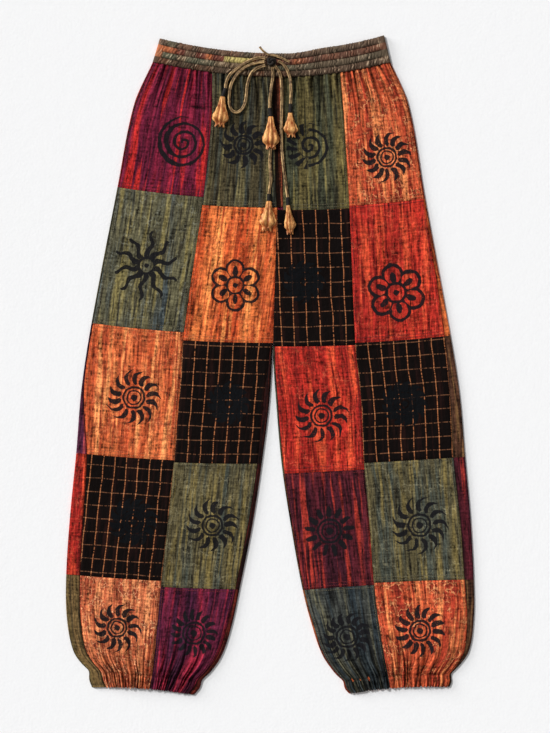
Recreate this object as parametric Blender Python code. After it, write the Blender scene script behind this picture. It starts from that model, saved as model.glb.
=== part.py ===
"""Patchwork drawstring trousers, laid flat on their back, at real size, in metres, +Z up.

The waist points towards +Y and the cloth rests on z = 0. Right and left are the wearer's, so the
right leg lies on the -X side. Every size below is in millimetres until a mesh is made.
"""

import bisect
import math
from typing import NamedTuple

import bmesh
import bpy
from mathutils import Vector

MM = 0.001

# Cloth and seams
CLOTH = 1.2  # the wall of a cotton panel
SEAM_GAP = 0.3  # between two pieces that are sewn together
STEP = 0.4  # how far apart two points are that give a surface its slope down the leg
SMALL = 0.004  # the same across it, as a share

# Gathers and tucks
WAIST_GATHERS = 6.5  # waves across a front patch at the waist
CUFF_GATHERS = 5.5  # and at the cuff
STEPS_A_GATHER = 4
UNEVEN = 0.014  # how far the waves wander from an even spacing
SWELL = 0.22  # how much one wave differs from the next in height
CROWN_REACH = 10.0  # how far in from an edge the cloth has risen to its full height

# Waistband
BAND_WALL = 2.2
BAND_RADIUS = 3.75  # of the fold at each end
BAND_HEIGHT_RIGHT = 35.0
BAND_HEIGHT_LEFT = 40.0
BAND_LEAN = 0.057  # how far its ends lean in, for each mm from the centre
BAND_CHANNELS = 4
BAND_RIBS = 20
BAND_BACK_STEPS = 10
BULGE = 0.7  # of each elastic channel
RIB = 0.5

# Centre strip
STRIP_DEPTH = 1.5  # below the front panels' face
STRIP_UNDERLAP = 2.0

# Drawstring
CORD_RADIUS = 2.0
TIP_RADIUS = 1.5
CORD_REST = 0.5  # between a cord and the cloth's highest gathers
POINTS_APART = 2.5  # in cord diameters
KNOT = (2.0, 457.0)
KNOT_RADII = (7.5, 6.0, 4.5)
BAND_TOP = 2 * BAND_RADIUS + BULGE + RIB
WAIST_Y = 436.0  # the waist seam at the centre

CENTRE = (0.13, 2.82)  # the middle of the garment's outline, which becomes the origin


class Section(NamedTuple):
    """A line across a leg from its outer edge to its inner edge."""

    down: float  # along the column seam, from the waist seam
    seam_x: float
    seam_y: float
    outer_width: float  # from the column seam to the edge
    inner_width: float
    outer_rise: float  # how far the line's end lies above the column seam
    inner_rise: float
    outer_wrap: float  # how far the back comes round onto the front
    inner_wrap: float


class Height(NamedTuple):
    """How high the cloth stands at a distance down the leg."""

    down: float
    edge: float  # the folded edge
    top: float  # the front's outer face where it has no gather
    gather: float  # half a wave, which the front and the back share


class Leg(NamedTuple):
    """One leg: its side of the garment, its sections, and where its patches end."""

    name: str
    side: int
    sections: tuple
    outer_rows: tuple
    inner_rows: tuple
    centre_inset: tuple  # from the centre to the front patch, at the waist and at row 1's end


RIGHT = Leg(
    "right",
    -1,
    (
        Section(0, -87, 441.8, 89, 97.5, 16, -6.5, 2.6, 2.6),
        Section(60, -87, 382.5, 117, 97.5, 12, -5, 2.6, 2.6),
        Section(187, -100, 255, 129, 111, 15, -4, 2.6, 2.6),
        Section(392, -129, 52, 139, 133.5, 14, -4, 2.6, 2.6),
        Section(488, -136, -43, 147, 135.5, 11, -4, 4, 9),
        Section(585, -144, -140, 147, 132, 11, -2, 16, 7),
        Section(676, -153, -230, 147, 127, 10, -4, 20, 6.5),
        Section(767, -163, -321, 143, 119, 10, -4, 21, 6.5),
        Section(834, -169, -388, 136, 111, 11, -2, 21, 7),
        Section(878, -173, -432, 122, 99, 5, -4, 20, 7),
        Section(910, -177, -464, 97, 77, 6, -8, 20, 8),
        Section(930, -180, -483, 87, 66, 2, -9, 21, 9),
    ),
    (0, 187, 392, 585, 767, 930),
    (0, 199, 404, 588, 776, 930),
    (7.5, 1.5),
)
LEFT = Leg(
    "left",
    1,
    (
        Section(0, 105, 441.5, 76, 94.5, 16, -6.2, 2.6, 2.6),
        Section(56, 110, 385.5, 98, 99.5, 9, -5, 2.6, 2.6),
        Section(200, 119, 242, 114, 108, 11, -2, 2.6, 2.6),
        Section(406, 128, 36, 143, 123.5, 11, -2, 9, 2.6),
        Section(495, 137, -53, 148, 127.5, 10, -3, 15, 2.6),
        Section(587, 141, -144, 152, 123, 9, -6, 18, 2.6),
        Section(677, 149, -234, 152, 117, 8, -8, 16, 2.6),
        Section(767, 156, -324, 150, 107.5, 5, -8, 14, 2.6),
        Section(826, 163, -382, 143, 100.5, 5, -4, 10, 2.6),
        Section(876, 171, -432, 127, 91, 4, -3, 7, 2.6),
        Section(906, 177, -461, 99, 72, 2, -9, 3, 2.6),
        Section(928, 180, -482, 89, 61, 2, -8, 3, 2.6),
    ),
    (0, 200, 406, 587, 767, 928),
    (0, 204, 409, 597, 770, 928),
    (7.5, 9.0),
)
CENTRE_LINE = ((10.5, 436.0), (11.0, 245.0), (4.5, 30.0))  # x and y, from the waist to the crotch
HEIGHTS = (
    Height(0, 4.6, 4.8, 1.3),
    Height(16, 4.6, 4.8, 2.2),
    Height(60, 4.4, 4.8, 1.5),
    Height(130, 4.2, 4.6, 0.4),
    Height(190, 4.2, 4.6, 0.0),
    Height(740, 4.2, 4.6, 0.0),
    Height(800, 4.2, 4.6, 0.6),
    Height(850, 4.4, 4.8, 1.8),
    Height(892, 4.6, 4.8, 2.6),
    Height(909, 4.6, 4.8, 1.2),
    Height(930, 4.6, 4.8, 1.4),
)
WAIST_ROW_STEPS = (16, 42, 90)
CUFF_ROW_STEPS = (804, 840, 868, 890, 909)
PLAIN_STEPS = 4

# Where the back has its points round a fold: from -1 at the side seam on the front to 0 at the middle
# of the edge, and then on to 1, where it lies flat.
WRAP_STOPS = (-1, -0.4, -0.16, 0, 0.5, 1)


class Dye(NamedTuple):
    """A cotton's colour and how matt it is."""

    colour: tuple
    roughness: float


DYES = {
    "magenta_stripe": Dye((0.30, 0.02, 0.07), 0.9),
    "slate_stripe": Dye((0.10, 0.11, 0.08), 0.9),
    "orange_batik": Dye((0.62, 0.17, 0.04), 0.85),
    "black_check": Dye((0.012, 0.009, 0.008), 0.9),
    "olive_stripe": Dye((0.14, 0.13, 0.05), 0.9),
    "red_stripe": Dye((0.50, 0.05, 0.02), 0.88),
    "maroon_stripe": Dye((0.16, 0.02, 0.02), 0.9),
    "band_cloth": Dye((0.13, 0.08, 0.05), 0.9),
    "cord_cloth": Dye((0.20, 0.14, 0.07), 0.85),
    "tassel_cloth": Dye((0.68, 0.35, 0.12), 0.7),
}
FRONT_DYES = {
    "right_outer": ("magenta_stripe", "slate_stripe", "orange_batik", "black_check", "orange_batik"),
    "right_inner": ("slate_stripe", "orange_batik", "black_check", "olive_stripe", "magenta_stripe"),
    "left_inner": ("olive_stripe", "black_check", "red_stripe", "maroon_stripe", "slate_stripe"),
    "left_outer": ("orange_batik", "red_stripe", "black_check", "olive_stripe", "orange_batik"),
}
BACK_DYES = {
    "right_outer": ("olive_stripe", "orange_batik", "magenta_stripe", "red_stripe", "olive_stripe"),
    "right_inner": ("red_stripe", "black_check", "maroon_stripe", "maroon_stripe", "red_stripe"),
    "left_inner": ("magenta_stripe", "olive_stripe", "slate_stripe", "black_check", "orange_batik"),
    "left_outer": ("slate_stripe", "orange_batik", "band_cloth", "maroon_stripe", "olive_stripe"),
}


class Tassel(NamedTuple):
    """A gathered cloth bell on a cord's end: where its wrap starts, its neck and its mouth."""

    name: str
    wrap: tuple
    neck: tuple
    mouth: tuple
    width: float


TASSELS = (
    Tassel("tassel_right", (-66.8, 417.0), (-71.1, 402.8), (-75.5, 361.5), 23),
    Tassel("tassel_centre", (-0.4, 387.5), (1.4, 373.0), (1.2, 328.0), 24),
    Tassel("tassel_left", (30.8, 393.5), (30.4, 379.5), (31.0, 346.0), 18),
    Tassel("tassel_centre_low", (-1.5, 259.0), (-1.5, 246.8), (-4.5, 206.0), 23),
    Tassel("tassel_left_low", (26.5, 254.0), (27.2, 241.5), (30.0, 201.0), 16),
)
WRAP_RADIUS = 2.7
BELL_FLATNESS = 0.5  # the bell's thickness over its width
BELL_SIDES = 12
FLUTES = 6
FLUTE_DEPTH = 0.10
BELL_PROFILE = ((0.0, 0.30), (0.22, 0.42), (0.5, 0.68), (0.78, 0.96), (0.92, 1.0), (1.0, 0.86))
BELL_MOUTH = ((0.97, 0.62),)  # the rolled lip's inner edge

# Each cord's route, in plan, from the knot or from the mouth of the bell above.
CORDS = {
    "cord_right": (
        (-6.4, 461.8), (-13.4, 463.0), (-23.0, 461.6), (-36.3, 455.6), (-50.0, 446.2),
        (-60.4, 436.8), (-65.4, 426.4), (-66.7, 417.4),
    ),
    "cord_loop": (
        (-6.8, 451.4), (-13.4, 449.8), (-20.6, 446.6), (-27.0, 440.8), (-31.2, 432.6), (-34.2, 421.5),
        (-35.3, 409.2), (-36.6, 399.0), (-39.8, 389.6), (-44.8, 383.6), (-50.6, 381.3), (-56.6, 384.0),
        (-60.2, 390.8), (-61.2, 400.5), (-60.4, 412.5), (-57.8, 423.8), (-53.2, 432.8), (-46.0, 441.8),
        (-36.8, 448.6), (-26.3, 453.6), (-16.6, 456.0), (-8.2, 456.4),
    ),
    "cord_left": (
        (12.4, 457.4), (16.6, 455.6), (21.8, 450.6), (26.3, 443.3), (29.6, 434.0), (31.0, 423.6),
        (31.4, 409.2), (30.8, 393.9),
    ),
    "cord_left_inner": (
        (7.4, 450.0), (11.0, 446.0), (14.2, 440.0), (16.4, 432.0), (17.3, 421.5), (17.6, 408.0),
        (17.4, 385.5), (17.0, 355.5), (18.0, 325.5), (20.5, 298.5), (23.6, 274.5), (26.5, 254.4),
    ),
    "cord_centre": (
        (3.4, 448.6), (4.2, 441.0), (3.8, 430.5), (2.1, 418.5), (0.7, 408.0), (-0.3, 398.0),
        (-0.4, 387.9),
    ),
    "cord_centre_low": (
        (0.9, 327.4), (-0.3, 313.5), (0.0, 303.0), (0.9, 291.0), (1.4, 280.5), (-0.2, 271.0),
        (-1.5, 259.4),
    ),
    "cord_tip": (
        (29.5, 457.0), (22.5, 460.2), (15.0, 463.6), (7.0, 466.0), (-0.5, 467.2), (-6.5, 470.2),
        (-11.8, 474.8), (-15.5, 479.5),
    ),
}


def read(table: tuple, down: float) -> tuple:
    """The row of a table at any distance down, on smooth curves through its rows.

    Args:
        table: rows whose first column is their distance down.
        down: the distance wanted.

    Returns:
        A row of the same kind.
    """
    keys = [row.down for row in table]
    i = max(0, min(bisect.bisect_right(keys, down) - 1, len(keys) - 2))
    before, first, second, after = (table[max(0, min(k, len(keys) - 1))] for k in range(i - 1, i + 3))
    span = second.down - first.down
    t = (down - first.down) / span
    values = []
    for a, p, q, b in zip(before, first, second, after):
        rise_in = (q - a) / max(second.down - before.down, 1e-9) * span
        rise_out = (b - p) / max(after.down - first.down, 1e-9) * span
        values.append(
            (2 * t**3 - 3 * t**2 + 1) * p
            + (t**3 - 2 * t**2 + t) * rise_in
            + (3 * t**2 - 2 * t**3) * q
            + (t**3 - t**2) * rise_out
        )
    return type(first)(*values)


def smooth(x: float) -> float:
    """0 below 0, 1 above 1, and a smooth step between."""
    x = max(0.0, min(1.0, x))
    return x * x * (3 - 2 * x)


def in_plan(leg: Leg, column: str, row: Section, inward: float) -> tuple:
    """The x and y of a point on a section, at a distance in from that column's edge."""
    outer = column == "outer"
    across = (row.outer_width if outer else row.inner_width) - inward
    signed = across if outer else -across
    bend = (row.outer_rise / row.outer_width + row.inner_rise / row.inner_width) / (
        row.outer_width + row.inner_width
    )
    slope = row.outer_rise / row.outer_width - bend * row.outer_width
    return row.seam_x + leg.side * signed, row.seam_y + slope * signed + bend * signed**2


def is_folded(column: str, row_number: int) -> bool:
    """Whether the patch's edge is a fold. Above the crotch the inner edges meet at the centre."""
    return column == "outer" or row_number > 2


def centre_x(y: float) -> float:
    """The x of the centre line, where the two legs are joined above the crotch."""
    for upper, lower in zip(CENTRE_LINE, CENTRE_LINE[1:]):
        if y >= lower[1] or lower is CENTRE_LINE[-1]:
            return upper[0] + (lower[0] - upper[0]) * (upper[1] - y) / (upper[1] - lower[1])
    return CENTRE_LINE[-1][0]


def at_down(leg: Leg, folded: bool, down: float) -> Section:
    """The section at a distance down. Where the legs are joined its inner end is the centre line."""
    row = read(leg.sections, down)
    if folded:
        return row
    width = abs(row.seam_x - centre_x(row.seam_y + row.inner_rise))
    return row._replace(inner_width=width)


def gathers(row_number: int) -> float:
    """How many waves a front patch of that row has across it."""
    return {1: WAIST_GATHERS, 5: CUFF_GATHERS}.get(row_number, 0.0)


def edge_of(leg: Leg, column: str, row_number: int, row: Section, down: float) -> float:
    """How far in from the silhouette a front patch starts."""
    if is_folded(column, row_number):
        return row.outer_wrap if column == "outer" else row.inner_wrap
    if row_number > 1:
        return 0.0
    at_waist, at_end = leg.centre_inset
    return at_waist + (at_end - at_waist) * down / leg.inner_rows[1]


def spot(leg: Leg, column: str, row_number: int, share: float, down: float, from_edge: float) -> tuple:
    """Where a share of the way across a patch lies: its distance in and the rise of its gather."""
    row, height = at_down(leg, is_folded(column, row_number), down), read(HEIGHTS, down)
    waves = gathers(row_number)
    first = from_edge + SEAM_GAP / 2
    last = (row.outer_width if column == "outer" else row.inner_width) - SEAM_GAP / 2
    if not waves:
        return first + (last - first) * share, 0.0
    uneven = UNEVEN * math.sin(4 * math.pi * share)
    wave = math.cos(2 * math.pi * waves * share)
    wave *= (1 + SWELL * math.sin(2 * math.pi * 2.3 * share + leg.side)) / (1 + SWELL)
    rise = max(0.0, height.gather) * (1 + wave) * smooth(share * 12)
    return first + (last - first) * (share + uneven), rise


def front_surface(leg: Leg, column: str, row_number: int):
    """The outer face of a front patch, as a function of the share across it and the distance down."""
    folded = is_folded(column, row_number)

    def face(share: float, down: float) -> Vector:
        row, height = at_down(leg, folded, down), read(HEIGHTS, down)
        edge = edge_of(leg, column, row_number, row, down)
        inward, rise = spot(leg, column, row_number, share, down, edge)
        radius = height.edge / 2
        z = height.top + rise
        if folded:
            short = max(0.0, radius - inward)
            z += radius + math.sqrt(radius**2 - short**2) - height.edge
            z -= (height.top - height.edge) * math.exp(-max(0.0, inward - radius) / CROWN_REACH)
        return Vector((*in_plan(leg, column, row, inward), z))

    return face


def back_surface(leg: Leg, column: str, row_number: int):
    """The outer face of a back patch, as a function of where it is across and the distance down.

    From -1 to 1 it goes round the fold, and from 2 to 3 it lies under the front patch, across to the
    column seam. Where there is no fold, 1.5 to 2 leads out from the centre line.
    """
    folded = is_folded(column, row_number)

    def face(across: float, down: float) -> Vector:
        row, height = at_down(leg, folded, down), read(HEIGHTS, down)
        radius = height.edge / 2
        quarter = math.pi * radius / 2
        edge = edge_of(leg, column, row_number, row, down)
        if across >= 2:
            inward, z = spot(leg, column, row_number, across - 2, down, edge)
        elif across > 1:
            inward, z = SEAM_GAP / 2 + edge * (across - 1.5) * 2, 0.0
        elif across > 0:
            turn = across * math.pi / 2
            inward, z = radius * (1 - math.cos(turn)), radius * (1 - math.sin(turn))
        else:
            reach = quarter + edge - radius
            if edge < radius:
                reach = radius * math.acos(1 - edge / radius)
            along = -across * (reach - SEAM_GAP / 2)
            turn = min(along, quarter) / radius
            beyond = max(0.0, along - quarter)
            inward, z = radius * (1 - math.cos(turn)) + beyond, radius * (1 + math.sin(turn))
            z += (height.top - height.edge) * (1 - math.exp(-beyond / CROWN_REACH))
        return Vector((*in_plan(leg, column, row, inward), z))

    return face


def outward(face, a: float, b: float, low: float, high: float, inside: Vector) -> Vector:
    """The unit normal of a surface at a point, on the side away from inside."""
    along_a = face(min(high, a + SMALL), b) - face(max(low, a - SMALL), b)
    along_b = face(a, b + STEP) - face(a, b - STEP)
    normal = along_a.cross(along_b).normalized()
    return normal if normal.dot(face(a, b) - inside) > 0 else -normal


def add_object(name: str, points: list, faces: list, dye: str, smooth_angle: float = 50) -> bpy.types.Object:
    """A mesh object from points in mm, closed and facing out, in its dye."""
    mesh = bpy.data.meshes.new(name)
    origin = Vector((*CENTRE, 0))
    mesh.from_pydata([(p - origin) * MM for p in points], [], faces)
    shape = bmesh.new()
    shape.from_mesh(mesh)
    bmesh.ops.recalc_face_normals(shape, faces=shape.faces)
    shape.to_mesh(mesh)
    shape.free()
    mesh.shade_smooth()
    mesh.set_sharp_from_angle(angle=math.radians(smooth_angle))
    mesh.materials.append(material(dye))
    made = bpy.data.objects.new(name, mesh)
    bpy.context.scene.collection.objects.link(made)
    return made


def material(dye: str) -> bpy.types.Material:
    """The Principled material of a dye, made once."""
    found = bpy.data.materials.get(dye)
    if found:
        return found
    made = bpy.data.materials.new(dye)
    made.use_nodes = True
    shader = made.node_tree.nodes["Principled BSDF"]
    shader.inputs["Base Color"].default_value = (*DYES[dye].colour, 1)
    shader.inputs["Roughness"].default_value = DYES[dye].roughness
    shader.inputs["Metallic"].default_value = 0.0
    return made


def grid_faces(rows: int, columns: int, first: int = 0, ring: bool = False) -> list:
    """Four-sided faces over rows of points, the last column joined to the first on a ring."""
    wide = columns if ring else columns - 1
    faces = []
    for r in range(rows - 1):
        for c in range(wide):
            a, b = first + r * columns + c, first + r * columns + (c + 1) % columns
            faces.append((a, b, b + columns, a + columns))
    return faces


def wall(name: str, face, stops: list, downs: list, dye: str, inside) -> None:
    """A cloth wall whose outer face lies on a surface, with its inner face a cloth's width behind."""
    outer, inner = [], []
    for down in downs:
        for stop in stops:
            point = face(stop, down)
            ends = (2.0, 3.0) if stop >= 2 and stops[-1] > 1 else (-1.0, 1.0)
            ends = ends if stops[-1] > 1 else (0.0, 1.0)
            ends = (1.5, 2.0) if stop == 1.5 else ends
            normal = outward(face, stop, down, *ends, inside(point, stop, down))
            outer.append(point)
            inner.append(point - normal * CLOTH)
    rows, columns = len(downs), len(stops)
    count = rows * columns
    faces = grid_faces(rows, columns) + [f[::-1] for f in grid_faces(rows, columns, count)]
    rim = (
        [c for c in range(columns)]
        + [r * columns + columns - 1 for r in range(1, rows)]
        + [(rows - 1) * columns + c for c in range(columns - 2, -1, -1)]
        + [r * columns for r in range(rows - 2, 0, -1)]
    )
    for a, b in zip(rim, rim[1:] + rim[:1]):
        faces.append((b, a, a + count, b + count))
    add_object(name, outer + inner, faces, dye)


def row_downs(leg: Leg, column: str, row_number: int) -> list:
    """The distances down at which a patch has its rows of points, the same on the front and back."""
    ends = leg.outer_rows if column == "outer" else leg.inner_rows
    start, end = ends[row_number - 1] + SEAM_GAP / 2, ends[row_number] - SEAM_GAP / 2
    if row_number == 1:
        between = WAIST_ROW_STEPS
    elif row_number == 5:
        between = CUFF_ROW_STEPS
    else:
        between = [start + (end - start) * k / PLAIN_STEPS for k in range(1, PLAIN_STEPS)]
    return [start, *between, end]


def front_patch(leg: Leg, column: str, row_number: int, dye: str) -> None:
    """One patch of the front."""
    steps = round(gathers(row_number) * STEPS_A_GATHER) or PLAIN_STEPS
    stops = [k / steps for k in range(steps + 1)]
    downs = row_downs(leg, column, row_number)
    face = front_surface(leg, column, row_number)

    def inside(point, stop, down):
        return point - Vector((0, 0, 1))

    wall(f"{leg.name}_front_{column}_{row_number}", face, stops, downs, dye, inside)


def back_patch(leg: Leg, column: str, row_number: int, dye: str) -> None:
    """One patch of the back, which lies on the ground and comes round onto the front at a fold."""
    folded = is_folded(column, row_number)
    steps = round(gathers(row_number) * STEPS_A_GATHER) or PLAIN_STEPS - 1
    stops = list(WRAP_STOPS) if folded else [1.5] if row_number == 1 else []
    stops += [2 + k / steps for k in range(1 if folded else 0, steps + 1)]
    downs = row_downs(leg, column, row_number)
    face = back_surface(leg, column, row_number)

    def inside(point, stop, down):
        if stop > 0.99:
            return point + Vector((0, 0, 1))
        row, height = read(leg.sections, down), read(HEIGHTS, down)
        half = row.outer_width if column == "outer" else row.inner_width
        across = (point.x - row.seam_x) * leg.side
        width = half - (across if column == "outer" else -across)
        return Vector((*in_plan(leg, column, row, max(height.edge / 2, width)), height.edge / 2))

    wall(f"{leg.name}_back_{column}_{row_number}", face, stops, downs, dye, inside)


def waist_point(distance: float) -> tuple:
    """The x and y of the waist seam at a distance along x from its right end."""
    right, left = RIGHT.sections[0], LEFT.sections[0]
    to_centre = right.outer_width + right.inner_width
    if distance <= right.outer_width:
        return in_plan(RIGHT, "outer", right, distance)
    if distance <= to_centre:
        return in_plan(RIGHT, "inner", right, to_centre - distance)
    beyond = distance - to_centre
    if beyond <= left.inner_width:
        return in_plan(LEFT, "inner", left, beyond)
    return in_plan(LEFT, "outer", left, left.inner_width + left.outer_width - beyond)


def band_point(distance: float, up: float, z: float) -> Vector:
    """A point of the waistband at a distance from its right end and a share of its height."""
    x, y = waist_point(distance)
    centre_x = RIGHT.sections[0].seam_x + RIGHT.sections[0].inner_width
    height = BAND_HEIGHT_RIGHT + (BAND_HEIGHT_LEFT - BAND_HEIGHT_RIGHT) * smooth((x - 30) / 60)
    return Vector((x - BAND_LEAN * (x - centre_x) * up, y + height * up, z))


def waistband() -> None:
    """The elastic waistband: one loop laid flat, with ribs and four channels raised on its outside."""
    right, left = RIGHT.sections[0], LEFT.sections[0]
    width = right.outer_width + right.inner_width + left.inner_width + left.outer_width
    ribs = BAND_RIBS * STEPS_A_GATHER
    turns = [k * math.pi / 4 for k in range(4)]
    loop = []  # distance from the right end, level from -1 below to 1 above, rib from -1 to 1
    for turn in turns[:2]:
        loop.append((1 - math.cos(turn), math.sin(turn), 0.0, False))
    for k in range(ribs + 1):
        rib = math.cos(2 * math.pi * k / STEPS_A_GATHER) * smooth(k / 6) * smooth((ribs - k) / 6)
        loop.append((1 + k / ribs * (width / BAND_RADIUS - 2), 1.0, rib, True))
    for turn in turns[:2][::-1]:
        loop.append((width / BAND_RADIUS - 1 + math.cos(turn), math.sin(turn), 0.0, False))
    loop.append((width / BAND_RADIUS - 1 + math.cos(turns[1]), -math.sin(turns[1]), 0.0, False))
    for k in range(BAND_BACK_STEPS + 1):
        loop.append((width / BAND_RADIUS - 1 - k / BAND_BACK_STEPS * (width / BAND_RADIUS - 2), -1.0, 0.0, False))
    loop.append((1 - math.cos(turns[1]), -math.sin(turns[1]), 0.0, False))

    rows = 2 * BAND_CHANNELS
    outer, inner = [], []
    for r in range(rows + 1):
        for reach, level, rib, raised in loop:
            bulge = (BULGE + RIB * rib) * (r % 2) if raised else 0.0
            end = RIB * rib * 0.5 if raised and r in (0, rows) else 0.0
            z = BAND_RADIUS * (1 + level) + bulge + end
            outer.append(band_point(reach * BAND_RADIUS, r / rows, z))
    thinner = 1 - BAND_WALL / BAND_RADIUS
    for up in (0.0, 1.0):
        for reach, level, _, _ in loop:
            last = width / BAND_RADIUS
            if reach < 1:
                shrunk = 1 - (1 - reach) * thinner
            elif reach > last - 1:
                shrunk = last - 1 + (reach - last + 1) * thinner
            else:
                shrunk = reach
            z = BAND_RADIUS * (1 + level * thinner)
            inner.append(band_point(shrunk * BAND_RADIUS, up, z))
    columns = len(loop)
    count = (rows + 1) * columns
    faces = grid_faces(rows + 1, columns, 0, ring=True)
    faces += [f[::-1] for f in grid_faces(2, columns, count, ring=True)]
    for first, second in ((0, count), (rows * columns, count + columns)):
        for c in range(columns):
            after = (c + 1) % columns
            faces.append((first + c, first + after, second + after, second + c))
    add_object("waistband", outer + inner, faces, "band_cloth")


def centre_strip() -> None:
    """The narrow strip behind the centre front, lower than the patches on each side of it."""
    end = RIGHT.inner_rows[1]
    downs = [SEAM_GAP, 16, 36, 66, 105, 150, end - SEAM_GAP]
    outer, inner = [], []
    for down in downs:
        rights, lefts = at_down(RIGHT, False, down), at_down(LEFT, False, down)
        z = read(HEIGHTS, down).top - STRIP_DEPTH
        t = down / end
        from_right = RIGHT.centre_inset[0] + (RIGHT.centre_inset[1] - RIGHT.centre_inset[0]) * t
        from_left = LEFT.centre_inset[0] + (LEFT.centre_inset[1] - LEFT.centre_inset[0]) * t
        a = in_plan(RIGHT, "inner", rights, from_right + STRIP_UNDERLAP)
        b = in_plan(LEFT, "inner", lefts, from_left + STRIP_UNDERLAP)
        for k in range(4):
            x = a[0] + (b[0] - a[0]) * k / 3
            y = a[1] + (b[1] - a[1]) * k / 3
            outer.append(Vector((x, y, z)))
            inner.append(Vector((x, y, z - CLOTH)))
    count = len(outer)
    rows, columns = len(downs), 4
    faces = grid_faces(rows, columns) + [f[::-1] for f in grid_faces(rows, columns, count)]
    rim = (
        list(range(columns))
        + [r * columns + columns - 1 for r in range(1, rows)]
        + [(rows - 1) * columns + c for c in range(columns - 2, -1, -1)]
        + [r * columns for r in range(rows - 2, 0, -1)]
    )
    for a, b in zip(rim, rim[1:] + rim[:1]):
        faces.append((b, a, a + count, b + count))
    add_object("centre_strip", outer + inner, faces, "band_cloth")


def crest(y: float) -> float:
    """How high the gathers reach near the centre front, at that y."""
    if y > WAIST_Y:
        return BAND_TOP
    height = read(HEIGHTS, WAIST_Y - y)
    return height.top + 2 * height.gather


def curve_through(points: list, apart: float) -> list:
    """Points at even distances along a smooth curve through a route's own points."""
    fine = []
    padded = [2 * points[0] - points[1], *points, 2 * points[-1] - points[-2]]
    for p0, p1, p2, p3 in zip(padded, padded[1:], padded[2:], padded[3:]):
        for k in range(12):
            t = k / 12
            fine.append(
                0.5 * (2 * p1 + (p2 - p0) * t + (2 * p0 - 5 * p1 + 4 * p2 - p3) * t**2
                       + (3 * p1 - p0 - 3 * p2 + p3) * t**3)
            )
    fine.append(points[-1])
    lengths = [0.0]
    for a, b in zip(fine, fine[1:]):
        lengths.append(lengths[-1] + (b - a).length)
    wanted = max(2, round(lengths[-1] / apart) + 1)
    spaced = []
    for k in range(wanted):
        at = lengths[-1] * k / (wanted - 1)
        i = max(0, min(bisect.bisect_right(lengths, at) - 1, len(fine) - 2))
        share = (at - lengths[i]) / max(lengths[i + 1] - lengths[i], 1e-9)
        spaced.append(fine[i].lerp(fine[i + 1], share))
    return spaced


def cord_heights(name: str, route: tuple, radius: float) -> list:
    """A cord's route with its heights: it leaves the knot raised and then lies on the cloth."""
    points = []
    for k, (x, y) in enumerate(route):
        z = crest(y) + CORD_REST + radius
        if name != "cord_tip" and name != "cord_centre_low" and k == 0:
            z = BAND_TOP + KNOT_RADII[2]
        if name == "cord_loop" and k == len(route) - 1:
            z = BAND_TOP + KNOT_RADII[2]
        points.append(Vector((x, y, z)))
    return points


def cord(name: str, route: tuple) -> None:
    """A drawstring cord as a tube along its route."""
    radius = TIP_RADIUS if name == "cord_tip" else CORD_RADIUS
    points = curve_through(cord_heights(name, route, radius), POINTS_APART * 2 * radius)
    curve = bpy.data.curves.new(name, "CURVE")
    curve.dimensions = "3D"
    curve.bevel_depth = radius * MM
    curve.bevel_resolution = 2
    curve.use_fill_caps = True
    spline = curve.splines.new("POLY")
    spline.points.add(len(points) - 1)
    origin = Vector((*CENTRE, 0))
    for spot, point in zip(spline.points, points):
        spot.co = (*((point - origin) * MM), 1)
    curve.materials.append(material("cord_cloth"))
    made = bpy.data.objects.new(name, curve)
    bpy.context.scene.collection.objects.link(made)


def knot() -> None:
    """The bow's knot, a small lumpy ball on the waistband."""
    sides, levels = 12, 7
    centre = Vector((*KNOT, BAND_TOP + SEAM_GAP + KNOT_RADII[2]))
    points = [centre - Vector((0, 0, KNOT_RADII[2]))]
    for level in range(1, levels):
        tilt = math.pi * level / levels - math.pi / 2
        for k in range(sides):
            turn = 2 * math.pi * k / sides
            lump = 1 - 0.05 * (1 - math.cos(3 * turn + 2 * tilt))
            points.append(
                centre
                + Vector(
                    (
                        KNOT_RADII[0] * math.cos(turn) * math.cos(tilt) * lump,
                        KNOT_RADII[1] * math.sin(turn) * math.cos(tilt) * lump,
                        KNOT_RADII[2] * math.sin(tilt),
                    )
                )
            )
    points.append(centre + Vector((0, 0, KNOT_RADII[2])))
    faces = grid_faces(levels - 1, sides, 1, ring=True)
    last = len(points) - 1
    top = 1 + (levels - 2) * sides
    for k in range(sides):
        after = (k + 1) % sides
        faces.append((0, 1 + after, 1 + k))
        faces.append((last, top + k, top + after))
    add_object("knot", points, faces, "cord_cloth")


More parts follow.
